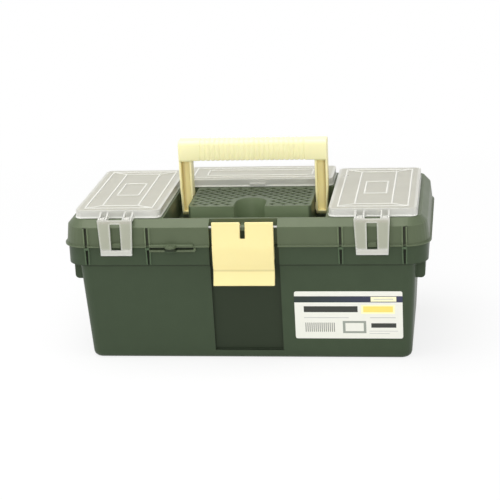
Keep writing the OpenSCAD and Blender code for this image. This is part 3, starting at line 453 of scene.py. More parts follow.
def handle_moulding():
    """The handle's cream, with painted shade that makes the legs deeper and their channels
    browner, darkest beside the outer flange
    """
    made = cream_moulding("handle_cream", settings().finish.handle)
    legs = made.between("Z", GRIP_FOOT, GRIP_FOOT - 2)
    # painted shade: the legs deeper than the grip
    made.mix(made.product(legs, 0.8), LEG_SHADE_CREAM)
    web = made.product(made.within("Y", PIVOT_Y - 1.6, PIVOT_Y + 1.6, 0.6), legs)
    # painted shade in the channels of the legs
    made.mix(made.product(web, 0.2), WEB_SHADE_CREAM)
    outer_corner = made.between("X", LEG_INNER + 7, LEG_INNER + 11, True)
    # painted shadow of the outer flange in the channels
    made.mix(made.product(web, outer_corner, 0.85), CHANNEL_SHADOW_BROWN)
    return made.material


def clear_moulding(name):
    made = Recipe(name, settings().finish.clear, 0.30, Transmission_Weight=CLEAR_THROUGH, IOR=1.5)
    made.clouds(16, 0.5, 0.93)
    made.rounded(0.0006)
    made.edges(0.0014, WHITE_EDGE, 0.95)
    made.bumps((26, 0.0004, 0.06, None))
    made.sheen_marks(60, 0.24, 0.40)
    return made


def cover_moulding(name, left, right, front, back):
    """Clear plastic that is whiter where it is thick: its border, raised lines and skirt"""
    made = clear_moulding(name)
    lines = made.between("Z", COVER_TOP + 0.1, COVER_TOP + 0.3)
    skirt = made.between("Z", COVER_TOP - 0.3, COVER_TOP - 0.9)
    foot = made.between("Z", COVER_FOOT + 1.6, COVER_FOOT + 1.2)
    border = 3.5
    core = made.product(made.within("X", left + border, right - border, 1.5, True),
                        made.within("Y", front + border, back - border, 1.5))
    made.mix(made.product(made.inverse(core), 0.55), WHITE_EDGE)
    made.mix(made.product(skirt, 0.65), WHITE_EDGE)
    made.mix(made.product(lines, 0.5), WHITE_EDGE)
    made.mix(foot, WHITE_EDGE)
    thick = made.reckon("MAXIMUM", lines, foot)
    made.put(made.shader.inputs["Transmission Weight"],
             made.ramp(thick, 0, 1, CLEAR_THROUGH, THICK_THROUGH))
    return made.material


def clasp_moulding():
    """Clear plastic with a painted see-through of the green behind it, whiter along its edges,
    head and foot
    """
    made = clear_moulding("clasp_moulding")
    window = made.within("Z", CLASP_FOOT + 6, COVER_FOOT - 2, 1)
    # painted see-through: the green behind the clasp
    made.mix(made.product(window, 0.35), GREEN_SEEN_THROUGH_PAINTED)
    made.edges(0.0034, WHITE_EDGE, 1.0)
    made.mix(made.product(made.between("Z", COVER_FOOT + 2, COVER_FOOT + 4), 0.7), WHITE_EDGE)
    made.mix(made.product(made.between("Z", CLASP_FOOT + 6, CLASP_FOOT + 5), 0.6), WHITE_EDGE)
    return made.material


def tray_moulding():
    tray = settings().finish.tray
    made = Recipe("tray_moulding", tray, 0.45)
    made.clouds(9, 0.6, 1.18)
    made.rounded(0.0006)
    # paler edges: partly rubbing, partly painted highlight where they catch the light
    made.edges(0.0009, [c * 1.6 for c in tray], 0.5)
    made.bumps((30, 0.0006, 0.10, None), (1500, 0.00006, 0.2, None))
    made.sheen_marks(40, 0.38, 0.52)
    return made.material


def drawn_steel():
    """Steel with fine marks along its length"""
    along = (0.05, 1, 1)
    made = Recipe("drawn_steel", (0.40, 0.40, 0.39), 0.4, Metallic=1.0)
    made.clouds(120, 0.5, 0.75)
    made.bumps((900, 0.00003, 0.4, along))
    made.sheen_marks(500, 0.34, 0.52, along)
    return made.material


def print_ink(name, colour):
    """Printed paper under a thin gloss film"""
    made = Recipe(name, colour, 0.34, Specular_IOR_Level=0.5)
    made.clouds(140, 0.35, 0.96)
    made.bumps((700, 0.00002, 0.2, None))
    made.sheen_marks(90, 0.28, 0.40)
    return made.material


def band_ink():
    """The ink of the label's band, which runs from green black to slate blue"""
    made = Recipe("band_ink", GREEN_BLACK, 0.3)
    made.mix(made.between("X", 55, 150), SLATE_BLUE)
    made.bumps((700, 0.00002, 0.2, None))
    made.sheen_marks(90, 0.26, 0.36)
    return made.material


# ---------- making meshes ----------

def piece(name, bm, body, *materials):
    """Turn a mesh in millimetres into an object, which rides on a body if one is named"""
    bmesh.ops.scale(bm, vec=(MM, MM, MM), verts=bm.verts)
    bmesh.ops.recalc_face_normals(bm, faces=bm.faces)
    mesh = bpy.data.meshes.new(name)
    bm.to_mesh(mesh)
    bm.free()
    made = bpy.data.objects.new(name, mesh)
    bpy.context.scene.collection.objects.link(made)
    for material in materials:
        mesh.materials.append(material)
    smoothed(mesh)
    if body:
        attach(made, body)
    return made


def smoothed(mesh, angle=40):
    """Shade a mesh smooth, apart from edges sharper than an angle in degrees"""
    mesh.shade_smooth()
    mesh.set_sharp_from_angle(angle=math.radians(angle))


def settled(made, angle=40):
    """Replace an object's mesh by what its modifiers make of it"""
    graph = bpy.context.evaluated_depsgraph_get()
    mesh = bpy.data.meshes.new_from_object(made.evaluated_get(graph))
    made.modifiers.clear()
    made.data = mesh
    smoothed(mesh, angle)


def carved(made, bm, angle=40):
    """Cut a closed mesh in millimetres out of an object"""
    tool = piece("cutter", bm, None)
    cut = made.modifiers.new("cut", "BOOLEAN")
    cut.object = tool
    cut.operation = "DIFFERENCE"
    cut.solver = "EXACT"
    settled(made, angle)
    bpy.data.objects.remove(tool)


def eased(made, width, segments, angle):
    """Round the edges of an object that are sharper than an angle in degrees"""
    bevel = made.modifiers.new("eased", "BEVEL")
    bevel.width = width * MM
    bevel.segments = segments
    bevel.limit_method = "ANGLE"
    bevel.angle_limit = math.radians(angle)
    settled(made)


def add_block(bm, x0, x1, y0, y1, z0, z1):
    corners = [bm.verts.new((x, y, z)) for x in (x0, x1) for y in (y0, y1) for z in (z0, z1)]
    for face in ((0, 1, 3, 2), (4, 6, 7, 5), (0, 4, 5, 1),
                 (2, 3, 7, 6), (0, 2, 6, 4), (1, 5, 7, 3)):
        bm.faces.new([corners[i] for i in face])


def add_rings(bm, rings, looped=False):
    """Skin a row of closed rings of points, and cap its ends or join them in a loop"""
    rows = [[bm.verts.new(p) for p in ring] for ring in rings]
    following = rows[1:] + rows[:1] if looped else rows[1:]
    for row, following_row in zip(rows, following):
        for i in range(len(row)):
            j = (i + 1) % len(row)
            bm.faces.new((row[i], row[j], following_row[j], following_row[i]))
    if not looped:
        bm.faces.new(rows[0][::-1])
        bm.faces.new(rows[-1])


def circle(x, y, z, r, sides=32):
    """Points round a circle that faces along x"""
    turns = (2 * math.pi * i / sides for i in range(sides))
    return [(x, y + r * math.cos(a), z + r * math.sin(a)) for a in turns]


def add_bar(bm, x0, x1, y, z, r, ease=0):
    """A round bar along x, with its ends eased if asked"""
    if ease:
        ends = ((x0, r - ease), (x0 + ease, r), (x1 - ease, r), (x1, r - ease))
    else:
        ends = ((x0, r), (x1, r))
    add_rings(bm, [circle(x, y, z, radius) for x, radius in ends])


def add_tube(bm, x0, x1, y, z, r_out, r_in):
    """A round tube along x"""
    ends = ((x0, r_in), (x0, r_out), (x1, r_out), (x1, r_in))
    add_rings(bm, [circle(x, y, z, radius) for x, radius in ends], looped=True)


def add_slice(bm, x0, x1, points):
    """A shape drawn in y and z, drawn out along x"""
    add_rings(bm, [[(x, y, z) for y, z in points] for x in (x0, x1)])


def add_column(bm, points, z0, z1):
    """A shape drawn in x and y, drawn out upwards"""
    add_rings(bm, [[(x, y, z) for x, y in points] for z in (z0, z1)])


def on_side(side, inner, outer):
    """A stretch along x on the left (-1) or the right (1), lower end first"""
    return sorted((side * inner, side * outer))


def arc(cx, cy, r, start, end, steps):
    """Points on an arc from one angle to another, in degrees"""
    return [(cx + r * math.cos(math.radians(start + (end - start) * i / steps)),
             cy + r * math.sin(math.radians(start + (end - start) * i / steps)))
            for i in range(steps + 1)]


def smooth_path(points, steps):
    """Points on a smooth curve through the given ones"""
    made = []
    ends = [points[0], *points, points[-1]]
    for a, b, c, d in zip(ends, ends[1:], ends[2:], ends[3:]):
        for i in range(steps):
            t = i / steps
            made.append(tuple(
                0.5 * (2 * q + (r - p) * t + (2 * p - 5 * q + 4 * r - s) * t * t
                       + (3 * q - p - 3 * r + s) * t ** 3)
                for p, q, r, s in zip(a, b, c, d)))
    return made + [points[-1]]


def outward(made):
    """Whether a sheet's faces look to the front"""
    return sum(face.normal.y for face in made.data.polygons) < 0


def dress(material, *nodes):
    """Give carried-over solids their finish"""
    for name in nodes:
        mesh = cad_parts[name].data
        mesh.materials.clear()
        mesh.materials.append(material)
        smoothed(mesh, 28)


# ---------- body ----------

class TACKLE_OT_body(Operator):
    """Finish the base and the lid in green, with paler edges that are partly rubbed and partly
    painted highlight
    """

    bl_idname = "tackle.body"
    bl_label = "Base and lid"

    def execute(self, context):
        dress(base_moulding(), "base_tub")
        dress(lid_moulding(), "lid_shell")
        return {"FINISHED"}


# Front, foot and head of the ledges by the seal eye, and of the post that ends the lower one
LOWER_LEDGE = (-96.7, 115.3, 117.5)
LEDGE_POST = (-96.5, 116, 119.4)
UPPER_LEDGE = (-97.5, 120.3, 123.2)
LEDGE_BACK = -93.2


def add_ledge(bm, x0, x1, front, z0, z1):
    """A strip along x that stands out to the front, with round front edges"""
    ease = 0.7
    cut = ease * 0.3
    add_slice(bm, x0, x1, [
        (LEDGE_BACK, z0), (front + ease, z0), (front + cut, z0 + cut), (front, z0 + ease),
        (front, z1 - ease), (front + cut, z1 - cut), (front + ease, z1), (LEDGE_BACK, z1)])


class TACKLE_OT_seal(Operator):
    """Make the ledges above and below the parting line, on either side of the seal eye"""

    bl_idname = "tackle.seal"
    bl_label = "Seal ledges"

    def execute(self, context):
        bm = bmesh.new()
        add_ledge(bm, SEAL_LEFT, SEAL_RIGHT, *LOWER_LEDGE)
        add_ledge(bm, SEAL_RIGHT - 1, SEAL_RIGHT + 1, *LEDGE_POST)
        lower = piece("seal_ledge_lower", bm, "base", bpy.data.materials["lid_green"])
        bm = bmesh.new()
        add_ledge(bm, SEAL_LEFT, SEAL_RIGHT - 1.5, *UPPER_LEDGE)
        upper = piece("seal_ledge_upper", bm, "lid", bpy.data.materials["lid_green"])
        return {"FINISHED"}


# ---------- deck ----------

DECK_WALL = 2.5
DECK_CORNER_R = 4
SCOOP_FOOT_R = 4


def scoop_outline(r, front):
    """The U of the finger scoop seen from above, open to the front"""
    return [(-r, front)] + arc(0, SCOOP_Y, r, 180, 0, 28) + [(r, front)]


def deck_block():
    """The deck's outer form, with round front corners"""
    x, y, r = DECK_HALF - DECK_CORNER_R, DECK_FRONT + DECK_CORNER_R, DECK_CORNER_R
    bm = bmesh.new()
    add_column(bm, [(-DECK_HALF, DECK_BACK), *arc(-x, y, r, 180, 270, 6),
                    *arc(x, y, r, 270, 360, 6), (DECK_HALF, DECK_BACK)], LID_FOOT, LID_TOP)
    return bm


def deck_hollow():
    """What is hollow under the deck, round the wall of the scoop"""
    x, front, back = DECK_HALF - DECK_WALL, DECK_FRONT + DECK_WALL, DECK_BACK - DECK_WALL
    bm = bmesh.new()
    add_column(bm, [(-x, front), *scoop_outline(SCOOP_R + DECK_WALL, front), (x, front),
                    (x, back), (-x, back)], LID_FOOT - 2, LID_TOP - DECK_WALL)
    return bm


def stud_holes():
    """Holes for the studs of the handle, through the deck's side walls"""
    bm = bmesh.new()
    for side in (-1, 1):
        add_bar(bm, *on_side(side, DECK_HALF - 5, DECK_HALF + 2), PIVOT_Y, PIVOT_Z, STUD_R + 0.15)
    return bm


def deck_scoop():
    """The finger scoop: an upright U with a round foot and an eased rim"""
    levels = [(WELL_FLOOR + SCOOP_FOOT_R * (1 - math.cos(a)), SCOOP_FOOT_R * (1 - math.sin(a)))
              for a in (math.radians(15 * i) for i in range(7))]
    levels += [(LID_TOP - 0.9, 0), (LID_TOP - 0.4, -0.15), (LID_TOP + 0.05, -0.6),
               (LID_TOP + 2, -0.6)]
    bm = bmesh.new()
    add_rings(bm, [[(x, y, z) for x, y in scoop_outline(SCOOP_R - inset, DECK_FRONT - 3)]
                   for z, inset in levels])
    return bm


def deck_pits():
    """The field of pits, in rows that are set half a pit across from each other"""
    sizes = settings().deck
    pitch, row = sizes.pit_pitch / MM, sizes.row_pitch / MM
    half, depth = sizes.pit_half / MM, sizes.pit_depth / MM
    reach, margin = math.ceil(DECK_HALF / pitch), 4.5
    first_row, last_row = DECK_FRONT + 8, DECK_BACK - 4
    bm = bmesh.new()
    for j in range(int((DECK_BACK - DECK_FRONT) / row)):
        y = first_row + j * row
        shift = pitch / 2 if j % 2 else 0
        for i in range(-reach, reach + 1):
            x = i * pitch + shift
            inside = abs(x) < DECK_HALF - margin and y < last_row
            if not inside or math.hypot(x, max(0, y - SCOOP_Y)) < SCOOP_R + margin:
                continue
            rings = []
            for z, across in ((LID_TOP - depth, half * 0.62), (LID_TOP - 0.3, half * 0.96),
                              (LID_TOP + 0.3, half * 1.1)):
                along = across * 0.8
                rings.append([(x + across, y, z), (x, y + along, z),
                              (x - across, y, z), (x, y - along, z)])
            add_rings(bm, rings)
    return bm


class TACKLE_OT_deck(Operator):
    """Make the deck under the handle, with its scoop and its field of pits"""

    bl_idname = "tackle.deck"
    bl_label = "Deck"

    def execute(self, context):
        made = piece("deck", deck_block(), None, deck_moulding())
        carved(made, deck_hollow())
        eased(made, 0.7, 3, 50)
        carved(made, stud_holes())
        carved(made, deck_scoop())
        carved(made, deck_pits())
        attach(made, "lid")
        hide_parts("lid_deck")
        return {"FINISHED"}


# ---------- covers and inside ----------

class TACKLE_OT_covers(Operator):
    """Finish the three covers and the two clasps in milky clear plastic"""

    bl_idname = "tackle.covers"
    bl_label = "Covers and clasps"

    def execute(self, context):
        dress(cover_moulding("corner_cover_moulding", *CORNER_COVER), "left_cover", "right_cover")
        dress(cover_moulding("rear_cover_moulding", *REAR_COVER), "rear_cover")
        dress(clasp_moulding(), "left_clasp", "right_clasp")
        return {"FINISHED"}


class TACKLE_OT_inside(Operator):
    """Finish the tray, its arms and links, and the steel pins"""

    bl_idname = "tackle.inside"
    bl_label = "Tray, arms and pins"

    def execute(self, context):
        dress(tray_moulding(), "tray", "left_front_arm", "left_rear_arm", "right_front_arm",
              "right_rear_arm", "left_link", "right_link")
        dress(drawn_steel(), "latch_pin", "left_hinge_pin", "right_hinge_pin")
        return {"FINISHED"}


# ---------- latch ----------

# The front of the latch's plate from foot to head, and the rib behind each side, in y and z
LATCH_FACE = ((-102.5, 82.5), (-100.7, 88.5), (-99.2, 94.5), (-98.9, 97), (-99.6, 100.5),
              (-100.4, 105.5), (-101, 118), (-99.7, 127.5), (-98.4, 137), (-97.5, 145.5))
LATCH_RIB = ((-96.3, 141), (-97.7, 129), (-99.4, 118), (-98.9, 105.5), (-91, 107),
             (-90.8, 118), (-90.8, 125.5), (-91.2, 140))
LATCH_THICK = 2.6
BARREL_HALF = 28.5
BARREL_R, BARREL_BORE_R = 3.2, 1.35

# The web that joins the barrel to the plate, in y and z, and the hook, in x, y and z
BARREL_WEB = (-96.6, -94.6, LATCH_PIN_Z - 3.1, LATCH_PIN_Z + 1.6)
LATCH_HOOK = (-12, 12, -99, -93.3, 96.5, 100.5)


def latch_sheet():
    """The front of the latch, open at the notch in its head"""
    face = smooth_path(LATCH_FACE, 5)
    half, notch = LATCH_HALF, LATCH_NOTCH_HALF
    across = [-half, -half * 0.66, -half * 0.33, -notch, notch, half * 0.33, half * 0.66, half]
    foot = min(range(len(face)), key=lambda i: abs(face[i][1] - LATCH_NOTCH_FOOT))
    bm = bmesh.new()
    grid = [[bm.verts.new((x, y, z)) for x in across] for y, z in face]
    for i in range(len(face) - 1):
        for j in range(len(across) - 1):
            if i < foot or across[j] != -notch:
                bm.faces.new((grid[i][j], grid[i][j + 1], grid[i + 1][j + 1], grid[i + 1][j]))
    bmesh.ops.delete(bm, geom=[v for v in bm.verts if not v.link_faces], context="VERTS")
    return bm


def latch_back():
    """What stands behind the latch's plate: side ribs, hook, and a barrel in two lengths"""
    bm = bmesh.new()
    for side in (-1, 1):
        add_slice(bm, *on_side(side, LATCH_HALF - 2.2, LATCH_HALF - 0.35), LATCH_RIB)
        x0, x1 = on_side(side, LATCH_NOTCH_HALF, BARREL_HALF)
        add_tube(bm, x0, x1, LATCH_PIN_Y, LATCH_PIN_Z, BARREL_R, BARREL_BORE_R)
        add_block(bm, x0, x1, *BARREL_WEB)
    add_block(bm, *LATCH_HOOK)
    return bm


class TACKLE_OT_latch(Operator):
    """Make the front latch: a curved plate with a flared lip, stiffened behind"""

    bl_idname = "tackle.latch"
    bl_label = "Latch"

    def execute(self, context):
        cream = latch_moulding()
        plate = piece("latch_plate", latch_sheet(), None, cream)
        wall = plate.modifiers.new("wall", "SOLIDIFY")
        wall.thickness = LATCH_THICK * MM
        wall.offset = -1 if outward(plate) else 1
        settled(plate)
        eased(plate, 0.85, 4, 50)
        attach(plate, "latch")
        back = piece("latch_hook_and_barrel", latch_back(), "latch", cream)
        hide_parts("front_latch")
        return {"FINISHED"}


# ---------- handle ----------

GRIP_HALF_DEPTH = 9
GRIP_END_EASE = 1.4
GRIP_FOOT_EASE = 0.8
LEG_FOOT_R = 8
LEG_HALF_DEPTH = 7.5
LEG_WALL = 2
STUD_INNER = 59.2


def grip_ring(x, shrink, foot):
    """The grip cut across, rounded above and eased below"""
    r, ease = settings().handle.corner / MM - shrink * 0.5, GRIP_FOOT_EASE
    hd = GRIP_HALF_DEPTH - shrink
    top = GRIP_TOP - shrink
    return [(x, y, z) for y, z in
            arc(PIVOT_Y - hd + ease, foot + ease, ease, 270, 180, 3)
            + arc(PIVOT_Y - hd + r, top - r, r, 180, 90, 7)
            + arc(PIVOT_Y + hd - r, top - r, r, 90, 0, 7)
            + arc(PIVOT_Y + hd - ease, foot + ease, ease, 0, -90, 3)]


def grip_mesh():
    """The grip from end to end, with rounded ends and a row of ribs between them"""
    sizes = settings().handle
    span, count, depth = sizes.rib_span / MM, sizes.rib_count, sizes.rib_depth / MM
    round_end = [(GRIP_END_EASE * (1 - math.cos(a)), GRIP_END_EASE * (1 - math.sin(a)))
                 for a in (math.radians(15 * i) for i in range(1, 7))]
    stations = [(-HANDLE_HALF + x, shrink) for x, shrink in round_end] + [(-span / 2 - 1, 0)]
    steps = 8
    # each rib is an arc, deepest at the grooves on its two sides
    for i in range(count):
        for j in range(steps):
            u = -1 + 2 * j / steps
            stations.append((-span / 2 + (i + j / steps) * span / count,
                             depth * (1 - math.sqrt(max(0, 1 - (0.98 * u) ** 2)))))
    stations += [(span / 2, depth * 0.8), (span / 2 + 1, 0)]
    stations += [(HANDLE_HALF - x, shrink) for x, shrink in reversed(round_end)]
    bm = bmesh.new()
    add_rings(bm, [grip_ring(x, s, GRIP_FOOT + s * (1 if abs(x) < span / 2 + 0.5 else 0.4))
                   for x, s in stations])
    return bm


def grip_cells():
    """The hollow under the grip, in one cell for each rib"""
    sizes = settings().handle
    span, web, side_wall, roof = sizes.rib_span / MM, 0.9, 2, 4
    pitch, hd = span / sizes.rib_count, GRIP_HALF_DEPTH - side_wall
    bm = bmesh.new()
    for i in range(sizes.rib_count):
        x = -span / 2 + i * pitch
        add_block(bm, x + web, x + pitch - web, PIVOT_Y - hd, PIVOT_Y + hd,
                  GRIP_FOOT - roof, GRIP_TOP - roof)
    return bm


def leg_mesh(side):
    """One leg: full width above, drawn in a little towards its round foot"""
    bm = bmesh.new()
    levels = [(PIVOT_Z - LEG_FOOT_R * math.cos(math.radians(a)), LEG_FOOT_OUTER)
              for a in range(8, 90, 9)]
    levels += [(PIVOT_Z, LEG_FOOT_OUTER), (PIVOT_Z + 2, LEG_FOOT_OUTER),
               (LEG_FULL_Z, HANDLE_HALF), (GRIP_FOOT + 1, HANDLE_HALF)]
    rings = []
    for z, outer in levels:
        below = max(0, PIVOT_Z - z)
        hd = min(LEG_HALF_DEPTH, math.sqrt(max(0.6, LEG_FOOT_R ** 2 - below ** 2)))
        x0, x1 = on_side(side, LEG_INNER, outer)
        rings.append([(x0, PIVOT_Y - hd, z), (x1, PIVOT_Y - hd, z), (x1, PIVOT_Y + hd, z),
                      (x0, PIVOT_Y + hd, z)])
    add_rings(bm, rings)
    return bm


def leg_channels(side):
    """What is hollow in front of and behind a leg's middle web"""
    bm = bmesh.new()
    inner, outer = LEG_INNER + LEG_WALL, HANDLE_HALF - LEG_WALL
    foot_outer = LEG_FOOT_OUTER - LEG_WALL
    foot, head = PIVOT_Z - 3, GRIP_FOOT - 1
    outline = [(inner, foot), (foot_outer, foot), (foot_outer, PIVOT_Z + 2), (outer, LEG_FULL_Z),
               (outer, head), (inner, head)]
    for y0, y1 in ((PIVOT_Y - 10, PIVOT_Y - 1), (PIVOT_Y + 1, PIVOT_Y + 10)):
        add_rings(bm, [[(side * x, y, z) for x, z in outline] for y in (y0, y1)])
    return bm


class TACKLE_OT_handle(Operator):
    """Make the carrying handle: a ribbed grip, hollow below, on two channelled legs"""

    bl_idname = "tackle.handle"
    bl_label = "Handle"

    def execute(self, context):
        cream = handle_moulding()
        grip = piece("handle_grip", grip_mesh(), None, cream)
        carved(grip, grip_cells(), 32)
        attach(grip, "handle_body")
        for side, name in ((-1, "left"), (1, "right")):
            leg = piece("handle_leg_" + name, leg_mesh(side), None, cream)
            carved(leg, leg_channels(side))
            eased(leg, 0.5, 3, 40)
            bm = bmesh.new()
            x0, x1 = on_side(side, STUD_INNER, LEG_INNER + 1)
            add_bar(bm, x0, x1, PIVOT_Y, PIVOT_Z, STUD_R, ease=0.3)
            stud = piece("handle_stud_" + name, bm, "handle_body", cream)
            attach(leg, "handle_body")
        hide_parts("handle")
        return {"FINISHED"}


# ---------- label ----------

LABEL_LEFT, LABEL_FOOT, LABEL_WIDE, LABEL_HIGH = 47, 21.95, 106, 50.3
LABEL_CORNER_R = 2
LABEL_THICK = 0.2

# How far the label's back stands off the wall
LABEL_GAP = 0.05

# Cuts across the label's right end, so that it can follow the corner of the wall
LABEL_BEND = range(98, 106)

# Printed areas: left, right, foot and head in millimetres on the label, and the ink
LABEL_PRINT = (
    (0, 106, 38.6, 45.2, "band"),
    (75, 100, 39.4, 44.6, "pale"),
    (78, 97, 41.6, 42.3, "rule"),
    (9, 62, 28.2, 34.6, "dark"),
    (65.5, 98.5, 26.6, 36, "glow"),
    (67.5, 96.5, 28.2, 34.4, "yellow"),
    (9, 53, 21.9, 22.8, "rule"),
    (74, 99, 21.9, 22.8, "rule"),
    (75, 99.5, 11.6, 16.4, "dark"),
    (73, 101, 7.6, 8.2, "rule"),
    (73, 93, 5.1, 5.7, "rule"),
    *((10 + 2 * i, 11 + 2 * i, 7.2, 17, "stripe") for i in range(15)),
    (47, 70, 5.7, 18.8, "muted"),
    (49.5, 67.5, 7.9, 16.6, "paper"),
)


def base_wall(x, z):
    """How far the front wall of the base stands out, at a place across and up it"""
    t = z / BAND_FOOT
    hw = BASE_FOOT_HALF[0] + (BASE_NECK_HALF[0] - BASE_FOOT_HALF[0]) * t
    hd = BASE_FOOT_HALF[1] + (BASE_NECK_HALF[1] - BASE_FOOT_HALF[1]) * t
    r = BASE_CORNER_R
    past = max(0, x - (hw - r))
    return -(hd - r + math.sqrt(r * r - past * past))


def label_sheet(inks):
    """The label on the wall, cut along its printed areas, with a number for each ink"""
    r, right, head = LABEL_CORNER_R, LABEL_WIDE - LABEL_CORNER_R, LABEL_HIGH - LABEL_CORNER_R
    outline = (arc(r, r, r, 180, 270, 5) + arc(right, r, r, 270, 360, 5)
               + arc(right, head, r, 0, 90, 5) + arc(r, head, r, 90, 180, 5))
    bm = bmesh.new()
    bm.faces.new([bm.verts.new((u, 0, v)) for u, v in outline])
    cuts_u = {edge for area in LABEL_PRINT for edge in area[:2]} | set(LABEL_BEND)
    cuts_v = {edge for area in LABEL_PRINT for edge in area[2:4]}
    for axis, cuts in (((1, 0, 0), cuts_u), ((0, 0, 1), cuts_v)):
        for cut in sorted(cuts):
            bmesh.ops.bisect_plane(
                bm, geom=bm.verts[:] + bm.edges[:] + bm.faces[:], dist=1e-5,
                plane_co=(axis[0] * cut, 0, axis[2] * cut), plane_no=axis)
    for face in bm.faces:
        middle = face.calc_center_median()
        for u0, u1, v0, v1, ink in LABEL_PRINT:
            if u0 < middle.x < u1 and v0 < middle.z < v1:
                face.material_index = inks.index(ink)
    for vert in bm.verts:
        x, z = LABEL_LEFT + vert.co.x, LABEL_FOOT + vert.co.z
        vert.co = (x, base_wall(x, z) - LABEL_GAP, z)
    return bm


class TACKLE_OT_label(Operator):
    """Make the paper label, which follows the wall and carries plain printed areas"""

    bl_idname = "tackle.label"
    bl_label = "Label"

    def execute(self, context):
        inks = {
            "paper": print_ink("label_paper", (0.82, 0.82, 0.74)),
            "band": band_ink(),
            "pale": print_ink("pale_ink", (0.93, 0.90, 0.60)),
            "dark": print_ink("dark_ink", (0.030, 0.034, 0.026)),
            "yellow": print_ink("yellow_ink", (0.93, 0.74, 0.16)),
            "glow": print_ink("glow_ink", (0.95, 0.92, 0.55)),
            "rule": print_ink("rule_ink", (0.55, 0.55, 0.52)),
            "stripe": print_ink("stripe_ink", (0.26, 0.26, 0.23)),
            "muted": print_ink("muted_ink", (0.30, 0.33, 0.28)),
        }
        made = piece("label_sheet", label_sheet(list(inks)), None, *inks.values())
        sheet = made.modifiers.new("thickness", "SOLIDIFY")
        sheet.thickness = LABEL_THICK * MM
        sheet.offset = 1 if outward(made) else -1
        settled(made, 60)
        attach(made, "base")
        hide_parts("label")
        return {"FINISHED"}


# ---------- stage ----------

FLOOR_HALF = 6000
SENSOR_WIDTH = 36

# Lamps: name, place, aim and size in metres, and watts
LAMPS = (
    ("overhead", (-0.25, -0.15, 1.5), (0, 0, 0.1), (1.3, 1.1), 15),
    ("front", (0.30, -1.95, 0.9), (0, 0, 0.08), (1.2, 0.9), 12),
    ("left", (-1.6, -0.7, 0.8), (0, 0, 0.08), (0.9, 0.9), 5.5),
    ("right", (1.6, -0.6, 0.7), (0, 0, 0.08), (0.9, 0.9), 3),
)


def floor_finish():
    """White floor that keeps the shadow near the box, and shows white further off"""
    material = bpy.data.materials.new("studio_floor")
    material.use_nodes = True
    made = Nodes(material.node_tree)
    nodes = material.node_tree.nodes
    nodes.remove(nodes["Principled BSDF"])
    far = made.reckon("LENGTH", made.node("TexCoord").outputs["Object"], kind="VectorMath")
    white = made.ramp(far, 0.25, 0.85, 0.80, 1.0)
    blend = made.node("MixShader", Fac=made.reckon("MULTIPLY", made.seen_directly(), white))
    matt = made.node("BsdfDiffuse", Color=(0.90, 0.90, 0.90, 1))
    made.put(blend.inputs[1], matt.outputs["BSDF"])
    made.put(blend.inputs[2], made.node("Emission").outputs["Emission"])
    made.put(nodes["Material Output"].inputs["Surface"], blend.outputs["Shader"])
    return material


def set_world():
    """Soft white light from all round, which shows as plain white to the camera"""
    world = bpy.data.worlds.new("studio")
    bpy.context.scene.world = world
    world.use_nodes = True
    made = Nodes(world.node_tree)
    sky = world.node_tree.nodes["Background"]
    sky.inputs["Color"].default_value = (1, 1, 1, 1)
    made.put(sky.inputs["Strength"], made.ramp(made.seen_directly(), 0, 1, 0.50, 1.0))


def softbox(name, place, aim, size, watts):
    data = bpy.data.lights.new(name, "AREA")
    data.shape = "RECTANGLE"
    data.size, data.size_y = size
    data.energy = watts
    made = bpy.data.objects.new(name, data)
    bpy.context.scene.collection.objects.link(made)
    made.location = place
    made.rotation_euler = (Vector(aim) - Vector(place)).to_track_quat("-Z", "Y").to_euler()


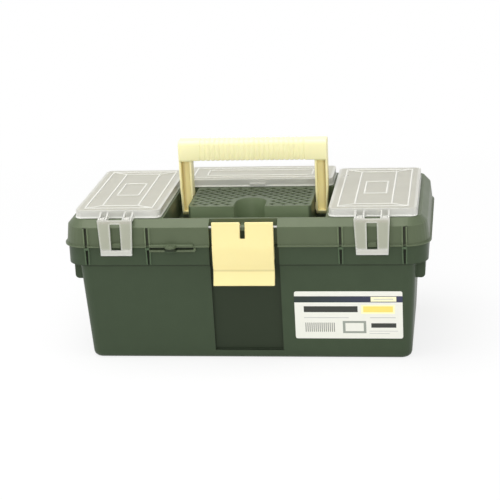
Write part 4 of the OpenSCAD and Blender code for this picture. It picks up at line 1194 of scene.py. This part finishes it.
def set_camera():
    """Stand the camera where the settings say, turned about its line of sight"""
    scene, look = bpy.context.scene, settings().camera
    turn, rise, roll = look.turn, look.rise, look.roll
    back = Vector((math.sin(turn) * math.cos(rise), -math.cos(turn) * math.cos(rise),
                   math.sin(rise)))
    right = (-back).cross(Vector((0, 0, 1))).normalized()
    up = right.cross(-back)
    across = math.cos(roll) * right + math.sin(roll) * up
    upward = -math.sin(roll) * right + math.cos(roll) * up
    data = bpy.data.cameras.new("camera")
    data.lens = look.lens
    data.sensor_width = SENSOR_WIDTH
    camera = bpy.data.objects.new("camera", data)
    scene.collection.objects.link(camera)
    turned = Matrix((across, upward, back)).transposed().to_4x4()
    camera.matrix_world = Matrix.Translation(Vector(look.target) + back * look.distance) @ turned
    scene.camera = camera


class TACKLE_OT_stage(Operator):
    """Make the floor, the light and the camera"""

    bl_idname = "tackle.stage"
    bl_label = "Floor, light and camera"

    def execute(self, context):
        set_camera()
        context.scene.view_settings.view_transform = "Standard"
        bm = bmesh.new()
        bmesh.ops.create_grid(bm, x_segments=8, y_segments=8, size=FLOOR_HALF)
        floor = piece("studio_floor", bm, None, floor_finish())
        set_world()
        for lamp in LAMPS:
            softbox(*lamp)
        return {"FINISHED"}


OPERATORS = (TACKLE_OT_body, TACKLE_OT_seal, TACKLE_OT_deck, TACKLE_OT_covers, TACKLE_OT_inside,
             TACKLE_OT_latch, TACKLE_OT_handle, TACKLE_OT_label, TACKLE_OT_stage)


class TACKLE_PT_panel(Panel):
    """Lists the pieces and the settings"""

    bl_idname = "TACKLE_PT_panel"
    bl_label = "Tackle box"
    bl_space_type = "VIEW_3D"
    bl_region_type = "UI"
    bl_category = "Tackle box"

    def draw(self, context):
        for operator in OPERATORS:
            self.layout.operator(operator.bl_idname)
        for part in TackleSettings.__annotations__:
            group = getattr(context.scene.tackle_box, part)
            box = self.layout.box()
            for name in group.__annotations__:
                box.prop(group, name)


CLASSES = (TackleFinish, TackleHandle, TackleDeck, TackleCamera, TackleSettings, *OPERATORS,
           TACKLE_PT_panel)


def register():
    for each in CLASSES:
        bpy.utils.register_class(each)
    bpy.types.Scene.tackle_box = PointerProperty(type=TackleSettings)


def unregister():
    del bpy.types.Scene.tackle_box
    for each in reversed(CLASSES):
        bpy.utils.unregister_class(each)


def main():
    register()
    for operator in OPERATORS:
        group, name = operator.bl_idname.split(".")
        getattr(getattr(bpy.ops, group), name)()


if __name__ == "__main__":
    main()
